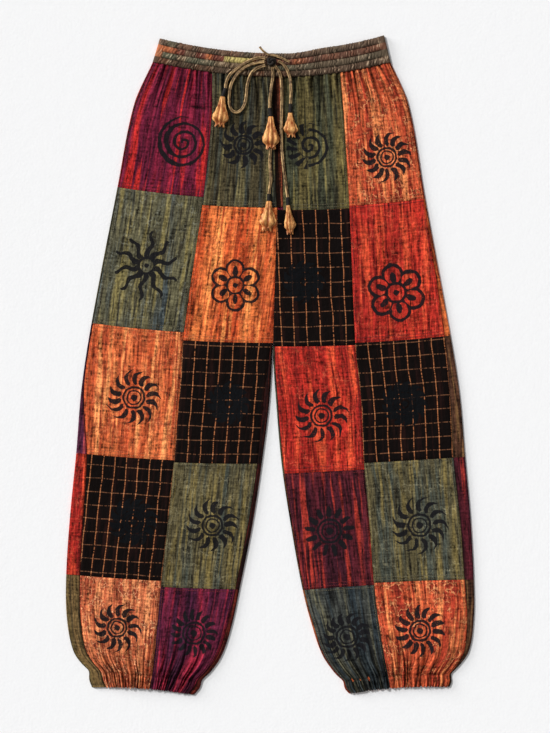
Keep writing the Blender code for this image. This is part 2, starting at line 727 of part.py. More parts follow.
def tassel(shape: Tassel) -> None:
    """A cloth bell with a bound neck, a fluted skirt and a rolled, open mouth."""
    wrap, neck, mouth = (Vector((*p, 0)) for p in (shape.wrap, shape.neck, shape.mouth))
    half = shape.width / 2
    rings = [(wrap, WRAP_RADIUS, 0.0, 1.0), (neck, WRAP_RADIUS, 0.0, 1.0)]
    for share, size in BELL_PROFILE + BELL_MOUTH:
        flat = 1.0 + (BELL_FLATNESS - 1.0) * smooth(share * 1.6)
        rings.append((neck.lerp(mouth, share), half * size, FLUTE_DEPTH * share, flat))
    rings[2] = (neck.lerp(mouth, 0.03), *rings[2][1:])
    ground = crest(shape.mouth[1] + 6)
    start_ground = crest(shape.wrap[1])
    axis = (mouth - neck).normalized()
    sideways = Vector((-axis.y, axis.x, 0))
    points = []
    for place, radius, flute, flat in rings:
        share = (place - wrap).length / (mouth - wrap).length
        level = start_ground + (ground - start_ground) * smooth(share * 2)
        lift = max(level, crest(place.y)) + SEAM_GAP + radius * (1 + flute) * flat
        for k in range(BELL_SIDES):
            turn = 2 * math.pi * k / BELL_SIDES
            grown = radius * (1 + flute * math.cos(FLUTES * turn))
            across = sideways * grown * math.cos(turn)
            points.append(Vector((place.x, place.y, lift + grown * flat * math.sin(turn))) + across)
    rows = len(rings)
    centre_in = neck.lerp(mouth, 0.8)
    ends = [sum(points[:BELL_SIDES], Vector()) / BELL_SIDES]
    mouth_height = sum((p.z for p in points[-BELL_SIDES:]), 0.0) / BELL_SIDES
    ends.append(Vector((centre_in.x, centre_in.y, mouth_height)))
    points += ends
    faces = grid_faces(rows, BELL_SIDES, 0, ring=True)
    first, last = len(points) - 2, len(points) - 1
    base = (rows - 1) * BELL_SIDES
    for k in range(BELL_SIDES):
        after = (k + 1) % BELL_SIDES
        faces.append((first, after, k))
        faces.append((last, base + k, base + after))
    add_object(shape.name, points, faces, "tassel_cloth")


def main() -> None:
    """Clears the scene and builds every piece."""
    for left_over in list(bpy.data.objects):
        bpy.data.objects.remove(left_over)
    for leg in (RIGHT, LEFT):
        for column in ("outer", "inner"):
            front = FRONT_DYES[f"{leg.name}_{column}"]
            back = BACK_DYES[f"{leg.name}_{column}"]
            for row_number in range(1, 6):
                front_patch(leg, column, row_number, front[row_number - 1])
                back_patch(leg, column, row_number, back[row_number - 1])
    waistband()
    centre_strip()
    knot()
    for shape in TASSELS:
        tassel(shape)
    for name, route in CORDS.items():
        cord(name, route)


main()
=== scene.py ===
"""Patchwork drawstring trousers laid flat: their cloth, prints, stitching, cords and tassels.

The cut and the places are those of the frame's own solids. Sizes are in millimetres on the plan the
trousers were measured in, and become metres from the frame's origin when a mesh is made.
"""
import bisect
import logging
import math
from dataclasses import dataclass
from enum import Enum
from typing import Callable, NamedTuple, Sequence

import bmesh
import bpy
import numpy as np
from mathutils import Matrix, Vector


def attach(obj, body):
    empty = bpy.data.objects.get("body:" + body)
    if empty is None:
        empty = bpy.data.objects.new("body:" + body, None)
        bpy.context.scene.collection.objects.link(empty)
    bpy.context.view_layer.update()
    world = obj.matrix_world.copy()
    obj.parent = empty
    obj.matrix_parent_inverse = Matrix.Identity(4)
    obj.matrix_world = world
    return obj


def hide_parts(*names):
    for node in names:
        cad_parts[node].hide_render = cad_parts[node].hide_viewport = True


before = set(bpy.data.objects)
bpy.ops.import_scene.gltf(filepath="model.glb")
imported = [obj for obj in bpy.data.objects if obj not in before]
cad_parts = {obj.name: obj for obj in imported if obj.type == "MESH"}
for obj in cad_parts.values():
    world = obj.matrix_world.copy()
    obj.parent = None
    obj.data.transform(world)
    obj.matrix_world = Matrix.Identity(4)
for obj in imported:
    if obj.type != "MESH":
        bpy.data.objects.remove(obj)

LOG = logging.getLogger("trousers")
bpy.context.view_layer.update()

MM = 0.001
ORIGIN = np.array([0.13, 2.82, 0.0])  # the frame's origin on the plan
SEAM_GAP = 0.3
CLOTH = 1.0  # the wall of a panel
UNEVEN = 0.014
SWELL = 0.22
WAIST_GATHERS = 6.5
CUFF_GATHERS = 5.5
CROWN_REACH = 10.0
WAIST_Y = 436.0
CASING = 909.5  # how far down the cuff's casing is stitched

Colour = tuple[int, int, int]


class Side(Enum):
    """The wearer's right, on the plan's left, and the wearer's left."""

    RIGHT = -1
    LEFT = 1


class Column(Enum):
    """A leg's column of patches by the side seam, and the one by the inseam."""

    OUTER = "outer"
    INNER = "inner"


class Section(NamedTuple):
    """A line across a leg from its outer edge to its inner edge."""

    down: float
    seam_x: float
    seam_y: float
    outer_width: float
    inner_width: float
    outer_rise: float
    inner_rise: float
    outer_wrap: float
    inner_wrap: float


class Height(NamedTuple):
    """How high the cloth stands at a distance down the leg."""

    down: float
    edge: float
    top: float
    gather: float


HEIGHTS = (
    Height(0, 4.6, 4.8, 1.3),
    Height(16, 4.6, 4.8, 2.2),
    Height(60, 4.4, 4.8, 1.5),
    Height(130, 4.2, 4.6, 0.4),
    Height(190, 4.2, 4.6, 0.0),
    Height(740, 4.2, 4.6, 0.0),
    Height(800, 4.2, 4.6, 0.6),
    Height(850, 4.4, 4.8, 1.8),
    Height(892, 4.6, 4.8, 2.6),
    Height(909, 4.6, 4.8, 1.2),
    Height(930, 4.6, 4.8, 1.4),
)
CENTRE_LINE = ((10.5, 436.0), (11.0, 245.0), (4.5, 30.0))


def read(table: Sequence[tuple], down: float) -> tuple:
    """Reads a table at any distance down, on smooth curves through its rows.

    Args:
        table: rows whose first column is their distance down.
        down: the distance wanted.

    Returns:
        A row of the same kind.
    """
    keys = [row.down for row in table]
    i = max(0, min(bisect.bisect_right(keys, down) - 1, len(keys) - 2))
    before, first, second, after = (table[max(0, min(k, len(keys) - 1))] for k in range(i - 1, i + 3))
    span = second.down - first.down
    t = (down - first.down) / span
    values = []
    for a, p, q, b in zip(before, first, second, after):
        rise_in = (q - a) / max(second.down - before.down, 1e-9) * span
        rise_out = (b - p) / max(after.down - first.down, 1e-9) * span
        values.append(
            (2 * t**3 - 3 * t**2 + 1) * p
            + (t**3 - 2 * t**2 + t) * rise_in
            + (3 * t**2 - 2 * t**3) * q
            + (t**3 - t**2) * rise_out
        )
    return type(first)(*values)


def smooth(x: np.ndarray | float) -> np.ndarray | float:
    """0 below 0, 1 above 1, and a smooth step between."""
    x = np.clip(x, 0.0, 1.0)
    return x * x * (3 - 2 * x)


def centre_x(y: float) -> float:
    """The x of the centre line, where the legs are joined above the crotch."""
    for upper, lower in zip(CENTRE_LINE, CENTRE_LINE[1:]):
        if y >= lower[1] or lower is CENTRE_LINE[-1]:
            return upper[0] + (lower[0] - upper[0]) * (upper[1] - y) / (upper[1] - lower[1])
    return CENTRE_LINE[-1][0]


@dataclass(frozen=True)
class Leg:
    """One leg's cut: its sections, where its rows of patches end, and its gap at the centre front."""

    side: Side
    sections: tuple[Section, ...]
    outer_rows: tuple[float, ...]
    inner_rows: tuple[float, ...]
    centre_inset: tuple[float, float]

    @property
    def name(self) -> str:
        """The leg's name in the frame's nodes."""
        return self.side.name.lower()

    def rows(self, column: Column) -> tuple[float, ...]:
        """Where that column's rows of patches start and end."""
        return self.outer_rows if column is Column.OUTER else self.inner_rows

    def folded(self, column: Column, row_number: int) -> bool:
        """Whether a patch's edge is a fold rather than the centre line."""
        return column is Column.OUTER or row_number > 2

    def section(self, column: Column, row_number: int, down: float) -> Section:
        """The section at a distance down, whose inner end is the centre line above the crotch."""
        row = read(self.sections, down)
        if self.folded(column, row_number):
            return row
        return row._replace(inner_width=abs(row.seam_x - centre_x(row.seam_y + row.inner_rise)))

    def width(self, column: Column, row: Section) -> float:
        """That column's width on a section."""
        return row.outer_width if column is Column.OUTER else row.inner_width

    def start(self, column: Column, row_number: int, row: Section, down: float) -> float:
        """How far in from the silhouette the front patch starts."""
        if self.folded(column, row_number):
            return row.outer_wrap if column is Column.OUTER else row.inner_wrap
        if row_number > 1:
            return 0.0
        at_waist, at_end = self.centre_inset
        return at_waist + (at_end - at_waist) * down / self.inner_rows[1]

    def plan(self, column: Column, row: Section, inward: np.ndarray) -> tuple[np.ndarray, np.ndarray]:
        """The x and y of points on a section.

        Args:
            column: the column of patches.
            row: the section.
            inward: distances in from that column's edge.

        Returns:
            The points' x and their y.
        """
        outer = column is Column.OUTER
        drawn_in = 3.0 * math.exp(-(((row.down - CASING + 2) / 6) ** 2)) - 1.5 * math.exp(
            -(((row.down - 921) / 6) ** 2)
        )
        inward = inward + drawn_in * np.exp(-inward / 22)
        across = self.width(column, row) - inward
        signed = across if outer else -across
        bend = (row.outer_rise / row.outer_width + row.inner_rise / row.inner_width) / (
            row.outer_width + row.inner_width
        )
        slope = row.outer_rise / row.outer_width - bend * row.outer_width
        x = row.seam_x + self.side.value * signed
        return x, row.seam_y + slope * signed + bend * signed**2


RIGHT = Leg(
    Side.RIGHT,
    (
        Section(0, -87, 441.8, 89, 97.5, 16, -6.5, 2.6, 2.6),
        Section(60, -87, 382.5, 117, 97.5, 12, -5, 2.6, 2.6),
        Section(187, -100, 255, 129, 111, 15, -4, 2.6, 2.6),
        Section(392, -129, 52, 139, 133.5, 14, -4, 2.6, 2.6),
        Section(488, -136, -43, 147, 135.5, 11, -4, 4, 9),
        Section(585, -144, -140, 147, 132, 11, -2, 16, 7),
        Section(676, -153, -230, 147, 127, 10, -4, 20, 6.5),
        Section(767, -163, -321, 143, 119, 10, -4, 21, 6.5),
        Section(834, -169, -388, 136, 111, 11, -2, 21, 7),
        Section(878, -173, -432, 122, 99, 5, -4, 20, 7),
        Section(910, -177, -464, 97, 77, 6, -8, 20, 8),
        Section(930, -180, -483, 87, 66, 2, -9, 21, 9),
    ),
    (0, 187, 392, 585, 767, 930),
    (0, 199, 404, 588, 776, 930),
    (7.5, 1.5),
)
LEFT = Leg(
    Side.LEFT,
    (
        Section(0, 105, 441.5, 76, 94.5, 16, -6.2, 2.6, 2.6),
        Section(56, 110, 385.5, 98, 99.5, 9, -5, 2.6, 2.6),
        Section(200, 119, 242, 114, 108, 11, -2, 2.6, 2.6),
        Section(406, 128, 36, 143, 123.5, 11, -2, 9, 2.6),
        Section(495, 137, -53, 148, 127.5, 10, -3, 15, 2.6),
        Section(587, 141, -144, 152, 123, 9, -6, 18, 2.6),
        Section(677, 149, -234, 152, 117, 8, -8, 16, 2.6),
        Section(767, 156, -324, 150, 107.5, 5, -8, 14, 2.6),
        Section(826, 163, -382, 143, 100.5, 5, -4, 10, 2.6),
        Section(876, 171, -432, 127, 91, 4, -3, 7, 2.6),
        Section(906, 177, -461, 99, 72, 2, -9, 3, 2.6),
        Section(928, 180, -482, 89, 61, 2, -8, 3, 2.6),
    ),
    (0, 200, 406, 587, 767, 928),
    (0, 204, 409, 597, 770, 928),
    (7.5, 9.0),
)


# ---- Shader groups -------------------------------------------------------------------------


def linear(colour: Colour) -> tuple[float, float, float, float]:
    """An 8-bit display colour as a shader's linear colour."""
    channels = [c / 255 for c in colour]
    return (*(c / 12.92 if c <= 0.04045 else ((c + 0.055) / 1.055) ** 2.4 for c in channels), 1.0)


class Graph:
    """Adds and links nodes of one tree in few words."""

    def __init__(self, tree: bpy.types.NodeTree) -> None:
        """Starts on a tree."""
        self.tree = tree

    def node(self, kind: str, inputs: dict | None = None, **settings: object) -> bpy.types.Node:
        """Adds a node.

        Args:
            kind: its type.
            inputs: sockets or values by input name or number.
            settings: its own properties.

        Returns:
            The node.
        """
        made = self.tree.nodes.new(kind)
        for key, value in settings.items():
            setattr(made, key, value)
        for key, value in (inputs or {}).items():
            self.feed(made.inputs[key], value)
        return made

    def feed(self, socket: bpy.types.NodeSocket, value: object) -> None:
        """Links a socket to an output, or sets its value."""
        if isinstance(value, bpy.types.NodeSocket):
            self.tree.links.new(value, socket)
        else:
            socket.default_value = value

    def maths(self, operation: str, *values: object) -> bpy.types.NodeSocket:
        """One sum."""
        inputs = dict(enumerate(values))
        return self.node("ShaderNodeMath", inputs, operation=operation).outputs[0]

    def stretched(self, vector: object, factors: tuple[float, float, float]) -> bpy.types.NodeSocket:
        """A vector with each of its parts times a factor."""
        return self.node("ShaderNodeVectorMath", {0: vector, 1: factors}, operation="MULTIPLY").outputs[0]

    def hollow(self) -> bpy.types.NodeSocket:
        """The painted shade that darkens folds, creases and grooves, from 0 to 1."""
        return self.node("ShaderNodeAttribute", attribute_name="Hollow").outputs["Fac"]

    def times(self, first: object, second: object) -> bpy.types.NodeSocket:
        """The product of two values."""
        return self.maths("MULTIPLY", first, second)

    def plus(self, first: object, second: object) -> bpy.types.NodeSocket:
        """The sum of two values."""
        return self.maths("ADD", first, second)

    def minus(self, first: object, second: object) -> bpy.types.NodeSocket:
        """The difference of two values."""
        return self.maths("SUBTRACT", first, second)

    def over(self, first: object, second: object) -> bpy.types.NodeSocket:
        """The quotient of two values."""
        return self.maths("DIVIDE", first, second)

    def mix(self, share: object, first: object, second: object) -> bpy.types.NodeSocket:
        """One colour turning into another."""
        inputs = {0: share, 6: first, 7: second}
        return self.node("ShaderNodeMix", inputs, data_type="RGBA").outputs[2]

    def scaled(self, share: object, colour: object, times: object) -> bpy.types.NodeSocket:
        """A colour multiplied by another, as far as the share says."""
        inputs = {0: share, 6: colour, 7: times}
        return self.node("ShaderNodeMix", inputs, data_type="RGBA", blend_type="MULTIPLY").outputs[2]

    def step(self, value: object, low: object, high: object) -> bpy.types.NodeSocket:
        """0 below low, 1 above high, and a smooth step between."""
        inputs = {0: value, 1: low, 2: high, 3: 0.0, 4: 1.0}
        return self.node("ShaderNodeMapRange", inputs, interpolation_type="SMOOTHSTEP").outputs[0]

    def vector(self, x: object, y: object, z: object = 0.0) -> bpy.types.NodeSocket:
        """A vector from three numbers."""
        return self.node("ShaderNodeCombineXYZ", {0: x, 1: y, 2: z}).outputs[0]

    def noise(self, vector: object, detail: float = 1.0, roughness: float = 0.5) -> bpy.types.NodeSocket:
        """Noise with cells one unit wide."""
        inputs = {"Vector": vector, "Scale": 1.0, "Detail": detail, "Roughness": roughness}
        return self.node("ShaderNodeTexNoise", inputs).outputs[0]


class Group:
    """A shader node group while it is being built."""

    def __init__(self, name: str, inputs: dict[str, str], outputs: dict[str, str]) -> None:
        """Makes the group and its sockets.

        Args:
            name: the group's name.
            inputs: its inputs' kinds by name.
            outputs: its outputs' kinds by name.
        """
        self.tree = bpy.data.node_groups.new(name, "ShaderNodeTree")
        for where, sockets in (("INPUT", inputs), ("OUTPUT", outputs)):
            for label, kind in sockets.items():
                self.tree.interface.new_socket(name=label, in_out=where, socket_type=f"NodeSocket{kind}")
        self.graph = Graph(self.tree)
        self.given = self.graph.node("NodeGroupInput").outputs
        self.result = self.graph.node("NodeGroupOutput").inputs

    def give(self, name: str, socket: bpy.types.NodeSocket) -> None:
        """Links a result to the group's output."""
        self.tree.links.new(socket, self.result[name])


def handloom_group() -> bpy.types.NodeTree:
    """Handwoven cotton: bands and yarns down the cloth, dye blotches, pale veins and slubs.

    Returns:
        The node group.
    """
    colours = ("Ground", "Second", "Third", "Fourth", "Blotch Colour", "Vein Colour")
    numbers = ("Seed", "Band", "Blotch", "Blotch Size", "Vein", "Streak", "Grain")
    inputs = {"Vector": "Vector", **{c: "Color" for c in colours}, **{n: "Float" for n in numbers}}
    group = Group("handloom_cotton", inputs, {"Color": "Color", "Height": "Float"})
    g, given = group.graph, group.given
    place = g.node("ShaderNodeSeparateXYZ", {0: given["Vector"]}).outputs
    seed = given["Seed"]
    sway = g.times(g.minus(g.noise(g.vector(g.times(place[0], 30), g.times(place[1], 14), seed)), 0.5), 0.004)
    u = g.plus(place[0], sway)
    v = place[1]
    banded = g.over(u, given["Band"])

    def along(width: float, length: float, shift: float, detail: float = 1.0) -> bpy.types.NodeSocket:
        """Noise in cells of that width, in metres, drawn out down the cloth."""
        return g.noise(
            g.vector(g.over(u, width), g.over(v, length), g.plus(seed, shift)),
            detail,
        )

    thin = along(0.0036, 0.075, 3.1, 2.0)
    stray = g.times(g.minus(thin, 0.5), 0.7)
    wide = g.plus(g.noise(g.vector(banded, g.times(v, 2.0), seed), 1.5), g.times(stray, 0.6))
    narrow = g.noise(g.vector(g.times(banded, 1.3), g.times(v, 5.0), g.plus(seed, 7.3)), 1.0)
    narrow = g.plus(narrow, stray)
    colour = g.mix(g.step(wide, 0.40, 0.62), given["Ground"], given["Second"])
    colour = g.mix(g.times(g.step(narrow, 0.50, 0.72), 0.85), colour, given["Third"])
    colour = g.mix(g.times(g.step(g.minus(1.0, thin), 0.52, 0.66), 0.85), colour, given["Fourth"])
    size = given["Blotch Size"]
    patch = g.vector(g.over(u, size), g.over(v, g.times(size, 1.3)), g.plus(seed, 21.0))
    blot = g.step(g.noise(patch, 5.0, 0.74), 0.49, 0.58)
    colour = g.mix(g.times(blot, given["Blotch"]), colour, given["Blotch Colour"])
    bent = g.node(
        "ShaderNodeVectorMath",
        {
            0: patch,
            1: g.node("ShaderNodeTexNoise", {"Vector": patch, "Scale": 1.8, "Detail": 2.0}).outputs["Color"]
        },
        operation="ADD"
    ).outputs[0]
    cells = g.node(
        "ShaderNodeTexVoronoi", {"Vector": bent, "Scale": 1.3}, feature="DISTANCE_TO_EDGE"
    ).outputs[0]
    vein = g.times(g.step(g.minus(0.07, cells), 0.0, 0.06), g.step(g.noise(patch, 1.0), 0.46, 0.62))
    colour = g.mix(g.times(vein, given["Vein"]), colour, given["Vein Colour"])
    yarn = along(0.0030, 0.026, 40.0, 2.5)
    weft = g.noise(g.vector(g.times(u, 50.0), g.times(v, 330.0), seed), 2.0)
    slub = g.noise(g.vector(g.times(u, 330.0), g.times(v, 260.0), seed), 3.0, 0.7)
    light = g.plus(g.times(g.minus(yarn, 0.5), given["Streak"]), 1.0)
    light = g.plus(light, g.times(g.minus(slub, 0.5), given["Grain"]))
    light = g.plus(light, g.times(g.minus(weft, 0.5), g.times(given["Grain"], 0.75)))
    light = g.plus(light, g.times(g.step(slub, 0.57, 0.70), 0.45))
    light = g.maths("MAXIMUM", light, 0.12)
    tone = g.vector(light, light, light)
    group.give("Color", g.scaled(1.0, colour, tone))
    group.give("Height", g.plus(g.times(yarn, 0.6), g.plus(g.times(slub, 0.5), g.times(weft, 0.3))))
    return group.tree


def windowpane_group() -> bpy.types.NodeTree:
    """Black cotton with thin windowpane lines, brighter down the cloth and where they cross.

    Returns:
        The node group.
    """
    inputs = {
        "Vector": "Vector", "Ground": "Color", "Warp Line": "Color", "Weft Line": "Color",
        "Pitch": "Float", "Row Pitch": "Float", "Line": "Float", "First": "Float", "First Row": "Float",
        "Seed": "Float",
    }
    group = Group("windowpane_check", inputs, {"Color": "Color", "Height": "Float"})
    g, given = group.graph, group.given
    place = g.node("ShaderNodeSeparateXYZ", {0: given["Vector"]}).outputs
    seed = given["Seed"]
    slow = g.noise(g.vector(g.times(place[0], 25), g.times(place[1], 25), seed), 1.0)
    wander = g.times(g.minus(slow, 0.5), 0.004)

    def lines(across: object, first: object, pitch: object, breaks: object) -> bpy.types.NodeSocket:
        """Lines one pitch apart, broken where the weave dips."""
        across = g.minus(across, first)
        turn = g.maths("FRACT", g.plus(g.over(g.plus(across, wander), pitch), 0.5))
        off = g.times(g.maths("ABSOLUTE", g.minus(turn, 0.5)), pitch)
        half = g.times(given["Line"], 0.5)
        line = g.minus(1.0, g.step(off, g.times(half, 0.5), g.times(half, 1.3)))
        return g.times(line, breaks)

    dash_u = g.step(g.noise(g.vector(g.times(place[0], 90), g.times(place[1], 520), seed), 1.0), 0.3, 0.55)
    dash_v = g.step(g.noise(g.vector(g.times(place[0], 420), g.times(place[1], 90), seed), 1.0), 0.3, 0.6)
    warp = lines(place[0], given["First"], given["Pitch"], dash_u)
    weft = lines(place[1], given["First Row"], given["Row Pitch"], dash_v)
    grain = g.noise(g.vector(g.times(place[0], 500), g.times(place[1], 300), seed), 2.0)
    stripe = g.noise(g.vector(g.times(place[0], 160), g.times(place[1], 9), seed), 1.0)
    ground = g.mix(g.step(stripe, 0.5, 0.75), given["Ground"], linear((30, 12, 9)))
    colour = g.mix(weft, ground, given["Weft Line"])
    colour = g.mix(warp, colour, given["Warp Line"])
    colour = g.mix(g.times(warp, weft), colour, linear((226, 160, 108)))
    tone = g.plus(0.7, g.times(grain, 0.6))
    group.give("Color", g.scaled(1.0, colour, g.vector(tone, tone, tone)))
    group.give("Height", g.plus(grain, g.times(g.maths("MAXIMUM", warp, weft), 0.5)))
    return group.tree


def new_material(name: str) -> tuple[bpy.types.Material, Graph, bpy.types.ShaderNodeBsdfPrincipled]:
    """Makes a material.

    Args:
        name: its name.

    Returns:
        The material, its graph and its shader.
    """
    material = bpy.data.materials.new(name)
    material.use_nodes = True
    return material, Graph(material.node_tree), material.node_tree.nodes["Principled BSDF"]


class PrintKind(Enum):
    """The block-printed ornaments."""

    SUN = "sun_print"
    WAVY_SUN = "wavy_sun_print"
    FLOWER = "flower_print"
    SPIRAL = "spiral_print"
    SNAIL = "snail_print"


PRINT_INPUTS = ("Radius", "Ring", "Rays", "Turn", "Hook", "Weight", "Seed")


def print_group(kind: PrintKind) -> bpy.types.NodeTree:
    """A printed ornament round the vector's origin, as a mask.

    Args:
        kind: which ornament.

    Returns:
        The node group.
    """
    group = Group(kind.value, {"Vector": "Vector", **{n: "Float" for n in PRINT_INPUTS}}, {"Mask": "Float"})
    g, given = group.graph, group.given
    radius, ring, rays, seed = (given[n] for n in ("Radius", "Ring", "Rays", "Seed"))
    wobble = g.node(
        "ShaderNodeTexNoise", {"Vector": given["Vector"], "Scale": 130.0, "Detail": 1.0}
    ).outputs["Color"]
    shaken = g.node("ShaderNodeVectorMath", {0: wobble, 1: (0.5, 0.5, 0.5)}, operation="SUBTRACT").outputs[0]
    shaken = g.stretched(shaken, (0.0035, 0.0035, 0.0))
    moved = g.node("ShaderNodeVectorMath", {0: given["Vector"], 1: shaken}, operation="ADD").outputs[0]
    place = g.node("ShaderNodeSeparateXYZ", {0: moved}).outputs
    r = g.maths("SQRT", g.plus(g.times(place[0], place[0]), g.times(place[1], place[1])))
    angle = g.maths("ARCTAN2", place[1], place[0])
    edge = 0.0004

    def inside(distance: object, half: object) -> bpy.types.NodeSocket:
        """1 where a distance is less than half a line."""
        off = g.minus(half, g.maths("ABSOLUTE", distance))
        return g.step(off, -edge, edge)

    def either(*masks: object) -> bpy.types.NodeSocket:
        """1 where any mask is."""
        joined = masks[0]
        for mask in masks[1:]:
            joined = g.maths("MAXIMUM", joined, mask)
        return joined

    line = g.times(given["Weight"], 0.0017)
    rim = inside(g.minus(r, ring), line)
    dot = inside(r, g.times(ring, 0.33))
    if kind in (PrintKind.SUN, PrintKind.WAVY_SUN):
        begin = g.times(ring, 1.17 if kind is PrintKind.SUN else 1.0)
        s = g.over(g.minus(r, begin), g.minus(radius, begin))
        cube = g.times(g.times(s, s), s)
        lean = g.times(given["Hook"], g.minus(g.times(s, 0.30), g.times(cube, 0.62)))
        if kind is PrintKind.WAVY_SUN:
            lean = g.times(g.maths("SINE", g.times(s, 9.0)), g.over(0.0030, g.maths("MAXIMUM", r, 0.004)))
        pitch = g.over(2 * math.pi, rays)
        turned = g.over(g.plus(g.minus(angle, lean), given["Turn"]), pitch)
        number = g.maths("FLOOR", turned)
        luck = g.node(
            "ShaderNodeTexWhiteNoise", {"Vector": g.vector(number, seed)}, noise_dimensions="3D"
        ).outputs["Value"]
        side = g.times(g.minus(g.maths("FRACT", turned), g.plus(0.44, g.times(luck, 0.12))), pitch)
        offset = g.times(side, r)
        reach = g.minus(1.04, g.times(luck, 0.16))
        t = g.over(s, reach)
        if kind is PrintKind.SUN:
            swell = g.times(g.step(t, -0.04, 0.16), g.minus(1.0, g.step(t, 0.84, 1.05)))
            swell = g.times(swell, g.minus(1.12, g.times(g.step(t, 0.5, 1.0), 0.28)))
            half = g.times(g.times(swell, given["Weight"]), g.plus(0.0031, g.times(luck, 0.0009)))
            half = g.minus(half, edge)
        else:
            half = g.times(g.minus(1.8, t), 0.0026)
            half = g.minus(half, g.times(g.step(t, 0.98, 1.02), 0.01))
            half = g.minus(half, g.times(g.step(g.times(s, -1.0), 0.0, 0.02), 0.01))
        ray = inside(offset, half)
        second = inside(g.minus(r, g.times(ring, 0.66)), g.times(line, 0.7))
        found = either(rim, dot, ray, second) if kind is PrintKind.SUN else either(rim, dot, ray)
    elif kind is PrintKind.FLOWER:
        pitch = g.over(2 * math.pi, rays)
        turned = g.plus(g.over(g.plus(angle, given["Turn"]), pitch), 0.5)
        side = g.times(g.minus(g.maths("FRACT", turned), 0.5), pitch)
        x, y = g.times(r, g.maths("COSINE", side)), g.times(r, g.maths("SINE", side))

        def oval(centre: float, length: float, width: float) -> bpy.types.NodeSocket:
            """How far out a point lies from an oval's middle, as a share of its edge."""
            a = g.over(g.minus(x, g.times(radius, centre)), g.times(radius, length))
            b = g.over(y, g.times(radius, width))
            return g.maths("SQRT", g.plus(g.times(a, a), g.times(b, b)))

        petal = inside(
            g.times(g.minus(oval(0.63, 0.37, 0.345), 1.0), g.times(radius, 0.33)), g.times(line, 1.1)
        )
        beyond = g.step(r, g.times(ring, 1.0), g.times(ring, 1.04))
        drop = g.step(g.minus(1.0, oval(0.56, 0.21, 0.115)), 0.0, 0.12)
        found = either(rim, dot, g.times(petal, beyond), g.times(drop, beyond))
    else:
        pitch = g.over(radius, rays)
        turned = g.plus(g.over(r, pitch), g.over(g.plus(angle, given["Turn"]), 2 * math.pi))
        off = g.times(g.minus(g.maths("FRACT", turned), 0.5), pitch)
        thick = g.plus(0.95, g.times(g.step(g.minus(g.times(r, 0.6), place[0]), 0.010, 0.05), 1.0))
        coil = g.times(inside(off, g.times(line, thick)), g.step(g.minus(radius, r), -edge, edge))
        if kind is PrintKind.SNAIL:
            left = g.step(g.times(place[0], -1.0), 0.0, 0.004)
            rib = g.maths("FRACT", g.plus(g.times(angle, 2.2), g.times(r, 22.0)))
            band = g.times(inside(g.minus(r, g.times(radius, 0.78)), g.times(radius, 0.24)), left)
            blades = g.times(band, g.step(g.maths("ABSOLUTE", g.minus(rib, 0.5)), 0.20, 0.28))
            hidden = g.times(left, g.step(r, g.times(radius, 0.5), g.times(radius, 0.56)))
            coil = g.times(coil, g.minus(1.0, hidden))
            found = either(coil, blades)
        else:
            found = coil
    worn = g.step(
        g.node("ShaderNodeTexNoise", {"Vector": given["Vector"], "Scale": 620.0, "Detail": 1.0}).outputs[0],
        0.22, 0.42
    )
    group.give("Mask", g.times(found, g.plus(0.72, g.times(worn, 0.26))))
    return group.tree


# ---- Finishes ------------------------------------------------------------------------------


@dataclass(frozen=True)
class Motif:
    """One printed ornament: its kind, its place on the plan and its sizes in millimetres."""

    kind: PrintKind
    x: float
    y: float
    radius: float
    ring: float = 14.0
    rays: float = 13.0
    turn: float = 0.0
    hook: float = 1.0
    weight: float = 1.0

    def mask(self, g: Graph, place: bpy.types.NodeSocket) -> bpy.types.NodeSocket:
        """Places the ornament's group in a material.

        Args:
            g: the material's tree.
            place: object coordinates.

        Returns:
            The ink's mask.
        """
        middle = ((self.x - ORIGIN[0]) * MM, (self.y - ORIGIN[1]) * MM, 0.0)
        local = g.node("ShaderNodeVectorMath", {0: place, 1: middle}, operation="SUBTRACT").outputs[0]
        node = g.node("ShaderNodeGroup", node_tree=bpy.data.node_groups[self.kind.value])
        values = (self.radius * MM, self.ring * MM, self.rays, self.turn, self.hook, self.weight, self.x)
        g.feed(node.inputs["Vector"], local)
        for name, value in zip(PRINT_INPUTS, values):
            node.inputs[name].default_value = value
        return node.outputs[0]


@dataclass(frozen=True)
class Handloom:
    """A handwoven cotton: its dyes, how wide its bands are, and how blotched and veined it is."""

    ground: Colour
    second: Colour
    third: Colour
    fourth: Colour
    band: float = 12.0
    blotch: float = 0.0
    blotch_colour: Colour = (90, 35, 25)
    blotch_size: float = 14.0
    vein: float = 0.0
    vein_colour: Colour = (235, 160, 105)
    streak: float = 3.0
    grain: float = 2.3

    def place(self, g: Graph, cloth: bpy.types.NodeSocket, seed: float) -> bpy.types.Node:
        """Places the cloth's group in a material."""
        node = g.node("ShaderNodeGroup", node_tree=bpy.data.node_groups["handloom_cotton"])
        g.feed(node.inputs["Vector"], cloth)
        for name, colour in (
            ("Ground", self.ground), ("Second", self.second), ("Third", self.third),
            ("Fourth", self.fourth), ("Blotch Colour", self.blotch_colour), ("Vein Colour", self.vein_colour),
        ):
            node.inputs[name].default_value = linear(colour)
        for name, value in (
            ("Seed", seed), ("Band", self.band * MM), ("Blotch", self.blotch),
            ("Blotch Size", self.blotch_size * MM), ("Vein", self.vein),
            ("Streak", self.streak), ("Grain", self.grain),
        ):
            node.inputs[name].default_value = value
        return node


